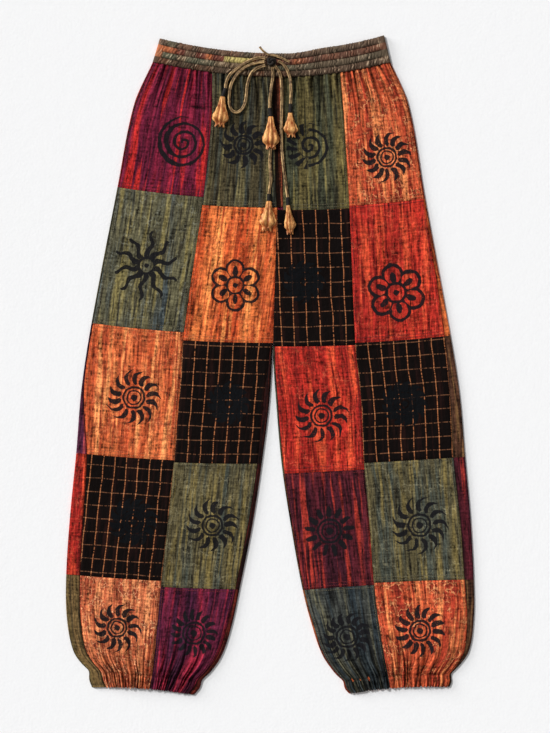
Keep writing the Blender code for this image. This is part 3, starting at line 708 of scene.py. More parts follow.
@dataclass(frozen=True)
class Windowpane:
    """A black cotton with thin woven lines, the first one that far from the seam and down the leg."""

    pitch: float = 19.0
    row_pitch: float = 20.5
    first: float = 0.0
    first_row: float = 0.0
    line: float = 1.45
    ground: Colour = (10, 4, 3)
    warp: Colour = (172, 106, 66)
    weft: Colour = (116, 76, 52)

    def place(self, g: Graph, cloth: bpy.types.NodeSocket, seed: float) -> bpy.types.Node:
        """Places the cloth's group in a material."""
        node = g.node("ShaderNodeGroup", node_tree=bpy.data.node_groups["windowpane_check"])
        g.feed(node.inputs["Vector"], cloth)
        for name, colour in (("Ground", self.ground), ("Warp Line", self.warp), ("Weft Line", self.weft)):
            node.inputs[name].default_value = linear(colour)
        for name, value in (
            ("Pitch", self.pitch * MM), ("Row Pitch", self.row_pitch * MM), ("Line", self.line * MM),
            ("First", self.first * MM), ("First Row", self.first_row * MM), ("Seed", seed),
        ):
            node.inputs[name].default_value = value
        return node


class Cloth(Enum):
    """The cottons that the patches are cut from."""

    BERRY = Handloom((124, 30, 52), (92, 24, 46), (182, 40, 32), (60, 18, 34), 15)
    SLATE = Handloom(
        (88, 84, 62), (62, 70, 72), (122, 110, 66), (44, 40, 32), 15, vein=0.2, vein_colour=(158, 162, 150)
    )
    OLIVE_DARK = Handloom((70, 62, 42), (50, 54, 50), (112, 102, 66), (30, 27, 21), 12)
    OLIVE = Handloom((88, 78, 46), (64, 66, 50), (118, 106, 62), (40, 40, 32), 14)
    OLIVE_LIGHT = Handloom(
        (86, 78, 53), (64, 68, 60), (116, 101, 58), (43, 40, 31), 12, vein=0.25, vein_colour=(164, 156, 124)
    )
    ORANGE = Handloom(
        (208, 108, 56), (182, 72, 36), (236, 148, 80), (136, 46, 26), 17, 0.45, (160, 62, 34), 11, 0.15
    )
    BATIK_ORANGE = Handloom(
        (210, 112, 64), (190, 84, 46), (238, 154, 92), (146, 56, 34), 15, 0.62, (142, 54, 34), 11, 0.22
    )
    BATIK_PALE = Handloom(
        (192, 106, 68), (172, 80, 50), (234, 152, 98), (128, 52, 34), 17, 0.8, (124, 48, 34), 13, 0.6,
        (244, 178, 126)
    )
    BATIK_RUST = Handloom(
        (194, 86, 52), (164, 58, 38), (232, 140, 84), (118, 36, 24), 15, 0.62, (112, 36, 28), 14, 0.65
    )
    RED = Handloom(
        (180, 46, 34), (146, 34, 28), (214, 80, 48), (98, 22, 20), 16, 0.35, (124, 28, 24), 13, 0.18,
        (226, 124, 84)
    )
    MAROON = Handloom((78, 26, 34), (54, 20, 30), (158, 50, 38), (34, 13, 19), 13)
    MAGENTA = Handloom((92, 28, 50), (64, 24, 46), (146, 34, 50), (38, 14, 28), 15)
    BLUE_GREY = Handloom((58, 60, 56), (42, 50, 54), (90, 86, 66), (24, 24, 24), 12)
    CHECK = Windowpane()
    CHECK_NARROW = Windowpane(19.3, 22.0, 13.0, 203.5)
    CHECK_SMALL = Windowpane(17.6, 20.0)
    FLY = Handloom((62, 32, 22), (36, 18, 14), (120, 58, 36), (16, 9, 8), 5)
    BROWN = Handloom((88, 58, 42), (66, 40, 28), (112, 82, 50), (40, 24, 16), 8)
    PURPLE = Handloom((96, 36, 56), (70, 30, 52), (150, 60, 60), (46, 18, 32), 8)
    SIDE_OLIVE = Handloom((112, 88, 54), (94, 78, 46), (66, 56, 38), (34, 30, 22), 9)
    INSEAM = Handloom((64, 20, 16), (30, 12, 10), (112, 40, 26), (14, 8, 7), 5)


INK = (22, 21, 24)
CHECK_INK = (9, 11, 14)


def cotton_material(name: str, cloth: Cloth, seed: float, motif: Motif | None = None) -> bpy.types.Material:
    """Makes a patch's material: its weave, its print, its crinkle, and painted shade in its folds.

    Args:
        name: the material's name.
        cloth: what it is cut from.
        seed: where on the cloth it was cut.
        motif: what is printed on it.

    Returns:
        The material.
    """
    material, g, shader = new_material(name)
    place = g.node("ShaderNodeTexCoord").outputs["Object"]
    weave = g.node("ShaderNodeUVMap", uv_map="Weave").outputs[0]
    woven = cloth.value.place(g, weave, seed)
    colour, height = woven.outputs
    faded = g.noise(g.stretched(place, (22.0, 14.0, 22.0)), 2.0)
    # Painted shade: the colour is darkened in folds, creases and turned edges by the shade stored on the mesh's points.
    hollow = g.hollow()
    tone = g.plus(0.80, g.times(faded, 0.40))
    tone = g.times(tone, g.minus(1.0, g.times(hollow, 0.88)))
    colour = g.scaled(1.0, colour, g.vector(tone, tone, tone))
    if motif:
        mask = motif.mask(g, place)
        ink = CHECK_INK if isinstance(cloth.value, Windowpane) else INK
        colour = g.mix(mask, colour, linear(ink))
        height = g.minus(height, g.times(mask, 0.15))
    g.feed(shader.inputs["Base Color"], colour)
    g.feed(shader.inputs["Roughness"], g.minus(0.94, g.times(height, 0.08)))
    shader.inputs["Specular IOR Level"].default_value = 0.1
    crinkle = g.noise(g.stretched(weave, (230.0, 60.0, 1.0)), 3.0, 0.6)
    pucker = g.noise(g.stretched(place, (70.0, 95.0, 1.0)), 2.0)
    relief = g.plus(g.times(crinkle, 0.5), g.plus(g.times(pucker, 1.1), g.times(height, 0.22)))
    bump = g.node("ShaderNodeBump", {"Strength": 0.9, "Distance": 0.0016, "Height": relief})
    g.feed(shader.inputs["Normal"], bump.outputs[0])
    return material


@dataclass(frozen=True)
class YarnFinish:
    """A plain spun finish for cords, threads and tassels: a light and a dark colour along the fibres, and painted shade
    in grooves and pleats.
    """

    name: str
    light: Colour
    dark: Colour
    roughness: float
    fibre: tuple[float, float, float]
    bump: float = 0.0004

    def material(self) -> bpy.types.Material:
        """Makes the material, once."""
        found = bpy.data.materials.get(self.name)
        if found:
            return found
        made, g, shader = new_material(self.name)
        uv = g.node("ShaderNodeUVMap", uv_map="Weave").outputs[0]
        drawn = g.stretched(uv, self.fibre)
        fibre = g.noise(drawn, 3.0, 0.6)
        place = g.node("ShaderNodeTexCoord").outputs["Object"]
        worn = g.noise(g.stretched(place, (240.0, 240.0, 240.0)), 2.0)
        share = g.step(g.plus(g.times(fibre, 0.7), g.times(worn, 0.3)), 0.36, 0.62)
        # Painted shade: the dark colour is taken where the mesh's points mark grooves and pleats as shaded.
        hollow = g.hollow()
        share = g.times(share, g.minus(1.0, hollow))
        g.feed(shader.inputs["Base Color"], g.mix(share, linear(self.dark), linear(self.light)))
        shader.inputs["Roughness"].default_value = self.roughness
        shader.inputs["Specular IOR Level"].default_value = 0.3
        g.feed(
            shader.inputs["Normal"],
            g.node("ShaderNodeBump", {"Strength": 0.7, "Distance": self.bump, "Height": fibre}).outputs[0]
        )
        return made


CORD_CLOTH = YarnFinish("cord_cloth_finish", (204, 168, 116), (70, 48, 28), 0.7, (60.0, 160.0, 1.0))
KNOT_CLOTH = YarnFinish("knot_cloth_finish", (44, 32, 20), (14, 10, 8), 0.8, (3.0, 60.0, 1.0))
TASSEL_CLOTH = YarnFinish("tassel_cloth_finish", (242, 180, 108), (150, 76, 30), 0.5, (60.0, 140.0, 1.0))
BINDING_THREAD = YarnFinish("binding_thread_finish", (40, 34, 30), (12, 10, 10), 0.7, (4.0, 300.0, 1.0))
TAN_THREAD = YarnFinish("tan_thread_finish", (216, 138, 92), (150, 78, 46), 0.8, (90.0, 90.0, 1.0))
RED_THREAD = YarnFinish("red_thread_finish", (150, 54, 56), (84, 24, 32), 0.8, (90.0, 90.0, 1.0))
GREY_THREAD = YarnFinish("grey_thread_finish", (134, 126, 100), (70, 66, 52), 0.8, (90.0, 90.0, 1.0))
DARK_THREAD = YarnFinish("dark_thread_finish", (40, 22, 22), (18, 10, 10), 0.8, (1.0, 1.0, 1.0))


# ---- Meshes --------------------------------------------------------------------------------


def add_piece(
    name: str, points: np.ndarray, faces: list, material: bpy.types.Material, uv: np.ndarray | None = None,
    sharp: float = 60.0, hollow: np.ndarray | None = None,
) -> bpy.types.Object:
    """Makes a piece's object at the origin from points on the plan.

    Args:
        name: the piece's name.
        points: its points, in millimetres.
        faces: its faces.
        material: its material.
        uv: each point's place on the cloth, in metres.
        sharp: the angle, in degrees, past which an edge is sharp.
        hollow: painted shade at each point, from 0 to 1, that darkens the colour where folds and grooves lie in shade.

    Returns:
        The object.
    """
    mesh = bpy.data.meshes.new(name)
    mesh.from_pydata(((points - ORIGIN) * MM).tolist(), [], faces)
    mesh.shade_smooth()
    mesh.set_sharp_from_angle(angle=math.radians(sharp))
    layer = mesh.uv_layers.new(name="Weave")
    corners = np.empty(len(mesh.loops), dtype=np.int32)
    mesh.loops.foreach_get("vertex_index", corners)
    places = np.zeros((len(points), 2)) if uv is None else uv
    layer.data.foreach_set("uv", places[corners].astype(np.float32).ravel())
    # Each point's painted shade is stored on the mesh, for the materials to darken the colour with.
    if hollow is not None:
        depth = mesh.attributes.new("Hollow", "FLOAT", "POINT")
        depth.data.foreach_set("value", np.clip(hollow, 0, 1).astype(np.float32).ravel())
    mesh.materials.append(material)
    piece = bpy.data.objects.new(name, mesh)
    bpy.context.scene.collection.objects.link(piece)
    return piece


def grid_faces(rows: int, columns: int, first: int = 0, ring: bool = False, flip: bool = False) -> list:
    """Four-sided faces over rows of points.

    Args:
        rows: how many rows.
        columns: points in each.
        first: the first point's number.
        ring: whether the last column joins the first.
        flip: whether they face the other way.

    Returns:
        The faces.
    """
    r, c = np.meshgrid(np.arange(rows - 1), np.arange(columns if ring else columns - 1), indexing="ij")
    a = first + r * columns + c
    b = first + r * columns + (c + 1) % columns
    quads = np.stack([a, b, b + columns, a + columns], axis=-1).reshape(-1, 4)
    return (quads[:, ::-1] if flip else quads).tolist()


def sheet_mesh(outer: np.ndarray, thickness: float, up: bool) -> tuple[np.ndarray, list]:
    """A closed wall of cloth below a grid of points.

    Args:
        outer: the outer face's points, rows by columns by 3.
        thickness: the wall, in millimetres.
        up: whether the outer face looks up at its last column, and not down.

    Returns:
        The points and the faces.
    """
    rows, columns = outer.shape[:2]
    normal = np.cross(np.gradient(outer, axis=1), np.gradient(outer, axis=0))
    normal /= np.maximum(np.linalg.norm(normal, axis=-1, keepdims=True), 1e-9)
    raw_up = normal[rows // 2, -1, 2] > 0
    if raw_up != up:
        normal = -normal
    inner = outer - normal * thickness
    count = rows * columns
    # A face's own order turns from the first axis to the second, against the sum above.
    flip = raw_up != up
    faces = grid_faces(rows, columns, 0, flip=flip) + grid_faces(rows, columns, count, flip=not flip)
    rim = (
        list(range(columns))
        + [r * columns + columns - 1 for r in range(1, rows)]
        + [(rows - 1) * columns + c for c in range(columns - 2, -1, -1)]
        + [r * columns for r in range(rows - 2, 0, -1)]
    )
    for a, b in zip(rim, rim[1:] + rim[:1]):
        side = (b, a, a + count, b + count)
        faces.append(side[::-1] if flip else side)
    return np.concatenate([outer.reshape(-1, 3), inner.reshape(-1, 3)]), faces


@dataclass(frozen=True)
class Undulation:
    """The soft unevenness of cloth that lies as it was dropped, as a sum of long waves."""

    seed: int = 11
    waves: int = 14
    height: float = 0.30

    def at(self, x: np.ndarray, y: np.ndarray) -> np.ndarray:
        """The rise, in millimetres, at places on the plan."""
        random = np.random.default_rng(self.seed)
        total = np.zeros_like(x, dtype=float)
        for _ in range(self.waves):
            length = random.uniform(24, 110)
            turn = random.uniform(0, math.pi)
            phase = random.uniform(0, 2 * math.pi)
            wave = (x * math.cos(turn) + y * math.sin(turn) * 0.8) / length
            total += self.height * (length / 70) * np.sin(2 * math.pi * wave + phase)
        return total


UNDULATION = Undulation()


class Crease(NamedTuple):
    """A pressed fold across the cloth, from one place on the plan to another."""

    x: float
    y: float
    to_x: float
    to_y: float
    height: float
    width: float


CREASES = (
    Crease(170, 190, 232, 222, 0.9, 2.2),
    Crease(176, 176, 240, 200, -0.7, 2.6),
    Crease(165, 150, 236, 158, 0.6, 2.4),
    Crease(120, 40, 150, 90, 0.7, 3.0),
    Crease(-246, 120, -130, 100, -0.8, 2.2),
    Crease(-235, 190, -150, 196, 0.5, 2.4),
    Crease(-125, 128, -100, 200, 0.9, 4.0),
    Crease(-100, 60, -60, 190, 0.8, 5.0),
    Crease(-20, 60, -10, 180, -1.0, 5.0),
    Crease(-240, -90, -150, -76, 0.6, 2.5),
    Crease(30, -60, 120, -96, -0.6, 2.5),
    Crease(60, -130, 134, -120, -0.7, 2.4),
    Crease(-140, -180, -40, -190, 0.6, 2.2),
    Crease(150, -170, 280, -160, 0.6, 2.5),
    Crease(-260, -230, -140, -246, 0.5, 2.4),
    Crease(150, -60, 290, -40, 0.45, 2.4),
    Crease(-122, 392, -90, 386, -2.4, 2.6),
    Crease(-118, 396, -92, 391, 0.9, 3.0),
    Crease(-236, 168, -120, 150, -0.7, 1.8),
    Crease(-112, 150, -100, 20, -0.9, 3.2),
    Crease(-76, 180, -66, 40, 0.8, 4.0),
    Crease(-130, -160, -40, -150, 0.7, 1.9),
    Crease(160, -176, 286, -182, 0.7, 1.9),
    Crease(164, 60, 236, 30, -0.8, 2.2),
    Crease(20, -40, 84, -24, 0.6, 2.2),
    Crease(-270, 60, -262, 10, -1.0, 2.6),
    Crease(176, 340, 222, 210, 0.8, 4.5),
)


def creased(x: np.ndarray, y: np.ndarray) -> np.ndarray:
    """The rise of the pressed folds at places on the plan."""
    total = np.zeros_like(x, dtype=float)
    for fold in CREASES:
        run = np.array([fold.to_x - fold.x, fold.to_y - fold.y], dtype=float)
        length = float(np.hypot(*run))
        run /= length
        along = ((x - fold.x) * run[0] + (y - fold.y) * run[1]) / length
        off = (x - fold.x) * run[1] - (y - fold.y) * run[0]
        ends = smooth(along * 4) * smooth((1 - along) * 4)
        total += fold.height * ends * np.exp(-((off / fold.width) ** 2))
    return total


# ---- The cloth -----------------------------------------------------------------------------

SEAM_CALM = 14  # how far in from a seam the folds reach their full height
SEAM_RIDGE = 0.35  # the ridge that a seam's allowance lifts beside it
SEAM_DIP = 0.75  # how deep the cloth dips into a seam
BACK_ROOM = 0.8  # what a front's creases leave free above the back
GATHER_LENGTHS = (26, 82)
WAIST_CREASES, CUFF_CREASES = 9, 10  # sharp creases across a gathered patch
WAIST_SPAN, CUFF_SPAN = 2.3, 1.8  # half a sharp crease's width
CREASE_RANGE = ((18, -0.16, 1.5), (66, 0.16, 3.0))  # its least and greatest reach, slant and depth
GATHERED_COLUMNS, PLAIN_COLUMNS = 112, 62
SEAM_ROWS = (3.2, 7.6)  # how far from a seam its two rows of stitches run
THREAD_RISE = 0.2
BY_COLUMN_SEAM, BY_EDGE = 0.975, 0.028  # shares of the way across at which the long rows run


@dataclass
class Patch:
    """One patch of the patchwork, on the front or the back."""

    leg: Leg
    column: Column
    row_number: int
    cloth: Cloth
    motif: Motif | None = None

    @property
    def gathers(self) -> float:
        """How many gathers cross it."""
        return {1: WAIST_GATHERS, 5: CUFF_GATHERS}.get(self.row_number, 0.0)

    @property
    def seed(self) -> float:
        """Where on its cloth it was cut."""
        return self.row_number * 3.7 + (11.3 if self.column is Column.OUTER else 5.1) + self.leg.side.value * 2.9

    def ends(self) -> tuple[float, float]:
        """Where it starts and ends down the leg."""
        rows = self.leg.rows(self.column)
        return rows[self.row_number - 1] + SEAM_GAP / 2, rows[self.row_number] - SEAM_GAP / 2

    def spot(self, share: np.ndarray, row: Section, start: float) -> tuple[np.ndarray, np.ndarray]:
        """Where shares of the way across lie.

        Args:
            share: shares of the way from the edge to the column seam.
            row: the section.
            start: how far in from the silhouette the patch starts.

        Returns:
            Distances in from the silhouette, and each place's wave from -1 to 1.
        """
        first = start + SEAM_GAP / 2
        last = self.leg.width(self.column, row) - SEAM_GAP / 2
        if not self.gathers:
            return first + (last - first) * share, np.full_like(share, -1.0)
        uneven = UNEVEN * np.sin(4 * math.pi * share)
        wave = np.cos(2 * math.pi * self.gathers * share)
        wave = wave * (1 + SWELL * np.sin(2 * math.pi * 2.3 * share + self.leg.side.value)) / (1 + SWELL)
        return first + (last - first) * (share + uneven), wave

    def cloth_scale(self, row: Section) -> float:
        """How much cloth the gathers take up at a section, over its width."""
        if not self.gathers:
            return 1.0
        full = self.leg.section(self.column, self.row_number, self.ends()[1 if self.row_number == 1 else 0])
        return self.leg.width(self.column, full) / self.leg.width(self.column, row)

    def flat_size(self) -> tuple[float, float]:
        """The width and length it was cut to, without its seam allowance, in metres."""
        top, end = self.ends()
        wide = self.leg.section(self.column, self.row_number, end if self.row_number == 1 else top)
        return self.leg.width(self.column, wide) * MM, (end - top) * MM

    def sewn(self, rows: list[tuple[np.ndarray, np.ndarray]], seed: float, up: bool) -> bpy.types.Object:
        """Makes the patch's piece in place of its solid.

        Args:
            rows: each row's points and their places on the cloth, with the painted shade as a third value.
            seed: where on its cloth it was cut.
            up: whether its outer face looks up.

        Returns:
            The piece.
        """
        outer = np.stack([points for points, _ in rows])
        cloth = np.stack([places for _, places in rows]).reshape(-1, 3)
        cloth = np.concatenate([cloth, cloth])
        points, faces = sheet_mesh(outer, CLOTH, up=up)
        material = cotton_material(f"{self.name}_cotton", self.cloth, seed, self.motif)
        piece = add_piece(f"{self.name}_cloth", points, faces, material, cloth[:, :2], hollow=cloth[:, 2])
        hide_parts(self.name)
        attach(piece, "root")
        return piece


class FrontPatch(Patch):
    """A patch of the front, with its gathers, folds and turned edges."""

    @property
    def name(self) -> str:
        """The frame's name for it."""
        return f"{self.leg.name}_front_{self.column.value}_{self.row_number}"

    def row_points(self, share: np.ndarray, down: float) -> tuple[np.ndarray, np.ndarray]:
        """A row of the outer face.

        Args:
            share: shares of the way from the edge to the column seam.
            down: how far down the leg.

        Returns:
            The points on the plan, and their places on the cloth with the painted shade as a third value.
        """
        leg, column, number = self.leg, self.column, self.row_number
        row, height = leg.section(column, number, down), read(HEIGHTS, down)
        start = leg.start(column, number, row, down)
        inward, wave = self.spot(share, row, start)
        width = leg.width(column, row)
        rise, hollow = self.gather_rise(share, wave, height, down, width)
        z = np.full_like(share, height.top)
        radius = height.edge / 2
        if leg.folded(column, number):
            short = np.maximum(0.0, radius - inward)
            z += radius + np.sqrt(radius**2 - short**2) - height.edge
            z -= (height.top - height.edge) * np.exp(-np.maximum(0.0, inward - radius) / CROWN_REACH)
        lowest = np.minimum(z, 2 * CLOTH + BACK_ROOM)
        z = z + rise
        x, y = leg.plan(column, row, inward)
        if number == 5:
            y = y + 0.9 * np.sin(2 * math.pi * share * 17 + down / 9) * smooth((down - CASING) / 18)
        top, end = self.ends()
        edges = np.minimum(inward - start, width - inward)
        if number > 1:
            edges = np.minimum(edges, down - top)
        if number < 5:
            edges = np.minimum(edges, end - down)
        inner = smooth(edges / SEAM_CALM)
        folds = creased(x, y) * inner
        # Painted shade in the troughs of the pressed folds.
        hollow = np.maximum(hollow, np.clip(-0.42 * folds, 0, 1))
        z += UNDULATION.at(x, y) * inner + folds
        z += SEAM_RIDGE * np.exp(-(((edges - 4.0) / 3.0) ** 2)) - SEAM_DIP * np.exp(-((edges / 1.3) ** 2))
        z = np.maximum(z, lowest)
        across = (width - inward) * self.cloth_scale(row)
        # The third value on the cloth carries the painted shade to the mesh.
        cloth = np.stack([across, np.full_like(across, down), hollow / MM], axis=-1) * MM
        return np.stack([x, y, z], axis=-1), cloth

    def gather_rise(
        self, share: np.ndarray, wave: np.ndarray, height: Height, down: float, width: float,
    ) -> tuple[np.ndarray, np.ndarray]:
        """How high the gathers stand: narrow creases of uneven length between rounded puffs.

        Args:
            share: shares of the way across.
            wave: the gathers' wave there, from -1 to 1.
            height: the heights at that distance down.
            down: how far down the leg.
            width: the patch's width there.

        Returns:
            The rise in millimetres, and the painted shade in the gathers' troughs and creases, from 0 to 1.
        """
        if not self.gathers:
            return np.zeros_like(share), np.zeros_like(share)
        at_waist = self.row_number == 1
        off = down if at_waist else abs(CASING - down)
        random = np.random.default_rng(int(self.seed * 10))
        lengths = random.uniform(*GATHER_LENGTHS, 12)
        phases = random.uniform(0, 2 * math.pi, 4)
        number = np.floor(self.gathers * share).astype(int)
        depth = np.clip(1.25 * np.exp(-((off / lengths[number]) ** 2)), 0.0, 1.0)
        narrow = 2 * ((1 + np.clip(wave, -1, 1)) / 2) ** 0.62 - 1
        fade = smooth(share * 12)
        rise = max(0.0, height.gather) * (1 + 1 - (1 - narrow) * depth) * fade
        fine = 0.75 * np.exp(-off / (15 if at_waist else 22))
        rise += fine * np.cos(2 * math.pi * self.gathers * 2.15 * share + phases[0]) * fade
        rise += 0.45 * np.exp(-off / 34) * np.cos(2 * math.pi * self.gathers * 1.37 * share + phases[1]) * fade
        # Painted shade in the gathers' troughs, where they are deep.
        hollow = 0.35 * depth * (1 - narrow) / 2
        count = WAIST_CREASES if at_waist else CUFF_CREASES
        for k in range(count):
            place = (k + random.uniform(0.15, 0.85)) / count
            reach, slant, deep = random.uniform(*CREASE_RANGE)
            span = (WAIST_SPAN if at_waist else CUFF_SPAN) * max(0.5, 1 - 0.45 * off / reach)
            apart = (share - place) * width - slant * off
            crease = math.exp(-((off / reach) ** 2)) * np.exp(-((apart / span) ** 2)) * fade
            beside = math.exp(-((off / reach) ** 2)) * np.exp(-(((apart - 2.4 * span) / (1.4 * span)) ** 2)) * fade
            rise += 1.1 * beside - deep * crease
            # Painted shade in each sharp crease.
            hollow = np.maximum(hollow, crease * deep / 2.6)
        if not at_waist:
            in_casing = smooth((down - CASING + 5) / 7)
            ribs = np.cos(
                2 * math.pi * self.gathers * 3.1 * share
                + 0.9 * np.sin(9 * share + phases[2])
                + (down - CASING) / 9
            )
            rise += in_casing * (1.0 * ribs * fade + 0.7)
            groove = math.exp(-(((down - CASING) / 2.6) ** 2)) * fade
            rise -= 2.8 * groove
            # Painted shade in the casing's groove and between its ribs.
            hollow = np.maximum(np.maximum(hollow, 0.5 * groove), in_casing * smooth(-ribs) * 0.6)
        else:
            rise -= 1.2 * math.exp(-((down / 2.5) ** 2)) * fade
        return rise, hollow

    def shares(self) -> np.ndarray:
        """How far across its columns of points are."""
        return np.linspace(0, 1, GATHERED_COLUMNS if self.gathers else PLAIN_COLUMNS)

    def downs(self) -> np.ndarray:
        """How far down its rows of points are."""
        top, end = self.ends()
        if self.row_number == 5:
            return np.concatenate([np.linspace(top, 880, 48, endpoint=False), np.linspace(880, end, 42)])
        if self.row_number == 1:
            return np.concatenate([np.linspace(top, 60, 36, endpoint=False), np.linspace(60, end, 46)])
        return np.linspace(top, end, 80)

    def build(self) -> bpy.types.Object:
        """Makes the patch in place of its solid."""
        share = self.shares()
        rows = [self.row_points(share, float(down)) for down in self.downs()]
        return self.sewn(rows, self.seed, up=True)

    def line(self, share: float, downs: Sequence[float], lift: float) -> np.ndarray:
        """Points as far above the face as lift says, down one line at a share of the way across."""
        at = np.array([share])
        return np.array([self.row_points(at, float(down))[0][0] + (0, 0, lift) for down in downs])

    def across(self, down: float, lift: float) -> np.ndarray:
        """Points as far above the face as lift says, across it at a distance down."""
        return self.row_points(np.linspace(0.02, 0.98, 60), down)[0] + (0, 0, lift)


class BackPatch(Patch):
    """A patch of the back, which comes round onto the front at a fold."""

    @property
    def name(self) -> str:
        """The frame's name for it."""
        return f"{self.leg.name}_back_{self.column.value}_{self.row_number}"

    def row_points(self, across: np.ndarray, down: float) -> tuple[np.ndarray, np.ndarray]:
        """A row of the outer face, round the fold from -1 to 1 and underneath from 2 to 3."""
        leg, column, number = self.leg, self.column, self.row_number
        row, height = leg.section(column, number, down), read(HEIGHTS, down)
        start = leg.start(column, number, row, down)
        radius = height.edge / 2
        quarter = math.pi * radius / 2
        inward, z = np.zeros_like(across), np.zeros_like(across)
        under = across >= 2
        spots, wave = self.spot(across - 2, row, start)
        rise = max(0.0, height.gather) * (1 + wave) * smooth((across - 2) * 12)
        inward[under], z[under] = spots[under], rise[under]
        lead = (across > 1) & ~under
        inward[lead] = SEAM_GAP / 2 + start * (across[lead] - 1.5) * 2
        lower = (across > 0) & (across <= 1)
        turn = across[lower] * math.pi / 2
        inward[lower], z[lower] = radius * (1 - np.cos(turn)), radius * (1 - np.sin(turn))
        upper = across <= 0
        reach = quarter + start - radius - SEAM_GAP / 2
        along = -across[upper] * reach
        turn = np.minimum(along, quarter) / radius
        beyond = np.maximum(0.0, along - quarter)
        inward[upper] = radius * (1 - np.cos(turn)) + beyond
        raised = radius * (1 + np.sin(turn)) + (height.top - height.edge) * (1 - np.exp(-beyond / CROWN_REACH))
        edge = np.maximum(0.0, reach - along)
        if start > 5:
            raised += 0.3 * np.exp(-(((edge - 2.5) / 1.5) ** 2))
        z[upper] = raised - 0.5 * np.exp(-((edge / 1.0) ** 2)) * smooth(along / 3)
        x, y = leg.plan(column, row, inward)
        cloth_u = np.where(upper, quarter + across * reach, quarter * 2 + inward)
        near_edge = np.maximum(0.0, reach * (1 + across))
        # Painted shade on the part turned round onto the front: all of a narrow turn, and only near the edge of a wide
        # one.
        hollow = np.where(upper, 0.7 if start <= 5 else 0.8 * np.exp(-((near_edge / 2.2) ** 2)), 0.0)
        return np.stack([x, y, z], axis=-1), np.stack(
            [cloth_u, np.full_like(cloth_u, down), hollow / MM], axis=-1
        ) * MM

    def build(self) -> bpy.types.Object:
        """Makes the patch in place of its solid."""
        folded = self.leg.folded(self.column, self.row_number)
        flat = 2 + np.linspace(0, 1, 46 if self.gathers else 22)
        if folded:
            stops = np.concatenate([np.linspace(-1, 0, 16, endpoint=False), np.linspace(0, 1, 6), flat[1:]])
        else:
            stops = np.concatenate([[1.5] if self.row_number == 1 else [], flat])
        top, end = self.ends()
        rows = [self.row_points(stops, float(down)) for down in np.linspace(top, end, 50)]
        return self.sewn(rows, self.seed + 31, up=False)


S, W, F = PrintKind.SUN, PrintKind.WAVY_SUN, PrintKind.FLOWER
FRONT_CLOTHS: dict[tuple[Side, Column], tuple[tuple[Cloth, Motif], ...]] = {
    (Side.RIGHT, Column.OUTER): (
        (Cloth.BERRY, Motif(PrintKind.SPIRAL, -130.2, 337.0, 38.5, rays=3.235, turn=-0.48, weight=1.25)),
        (Cloth.SLATE, Motif(W, -185.3, 152.3, 52, 11.6, 10, 0.17)),
        (Cloth.BATIK_ORANGE, Motif(S, -204, -45.8, 42.5, 15.8, 14, 0.1)),
        (Cloth.CHECK_SMALL, Motif(S, -205, -232.4, 38, 15, 13, 0.3, weight=1.5)),
        (Cloth.BATIK_PALE, Motif(S, -229, -390.6, 38, 13.8, 13, 0.2)),
    ),
    (Side.RIGHT, Column.INNER): (
        (Cloth.OLIVE_DARK, Motif(S, -39.6, 333.2, 37, 13.8, 12, 0.2, weight=1.1)),
        (Cloth.ORANGE, Motif(F, -52, 122.6, 37.5, 12.6, 6, math.pi / 6)),
        (Cloth.CHECK, Motif(S, -62, -54.5, 34, 13, 12, 0.1, weight=1.5)),
        (Cloth.OLIVE_LIGHT, Motif(S, -86.3, -237.8, 41, 14.9, 13, 0.25)),
        (Cloth.MAGENTA, Motif(S, -114.2, -399, 36.5, 16, 16, 0.1, 0.3, 0.9)),
    ),
    (Side.LEFT, Column.INNER): (
        (Cloth.OLIVE, Motif(PrintKind.SNAIL, 59, 331.5, 34, rays=3.1, turn=0.6, weight=1.3)),
        (Cloth.CHECK_NARROW, Motif(S, 50.4, 127.8, 33, 12, 12, 0.0, weight=1.5)),
        (Cloth.RED, Motif(S, 77.3, -73, 42.5, 15.5, 13, 0.35)),
        (Cloth.MAROON, Motif(S, 89.4, -246, 39.5, 17.3, 13, 0.1, 0.1)),
        (Cloth.BLUE_GREY, Motif(S, 115.5, -404.4, 38, 15.5, 15, 0.0, 0.8)),
    ),
    (Side.LEFT, Column.OUTER): (
        (Cloth.BATIK_RUST, Motif(S, 175.4, 314.7, 39.5, 14, 14, 0.0, 0.9)),
        (Cloth.RED, Motif(F, 189.3, 111.6, 42, 14.4, 6, math.pi / 6 - 0.2, weight=1.3)),
        (Cloth.CHECK, Motif(S, 201.9, -54.8, 36, 14, 13, 0.2, weight=1.5)),
        (Cloth.OLIVE_LIGHT, Motif(S, 224.4, -237.5, 44, 16.5, 13, 0.1)),
        (Cloth.BATIK_RUST, Motif(S, 225, -395.3, 39.5, 15, 14, 0.3, 0.5, 1.05)),
    ),
}
BACK_CLOTHS: dict[tuple[Side, Column], tuple[Cloth, ...]] = {
    (Side.RIGHT, Column.OUTER): (Cloth.BERRY, Cloth.SLATE, Cloth.PURPLE, Cloth.RED, Cloth.SIDE_OLIVE),
    (Side.RIGHT, Column.INNER): (Cloth.RED, Cloth.CHECK, Cloth.INSEAM, Cloth.INSEAM, Cloth.INSEAM),
    (Side.LEFT, Column.INNER): (Cloth.MAGENTA, Cloth.OLIVE, Cloth.SLATE, Cloth.CHECK, Cloth.BATIK_ORANGE),
    (Side.LEFT, Column.OUTER): (Cloth.BATIK_RUST, Cloth.ORANGE, Cloth.BROWN, Cloth.MAROON, Cloth.BROWN),
}


# ---- Waistband and centre strip ------------------------------------------------------------


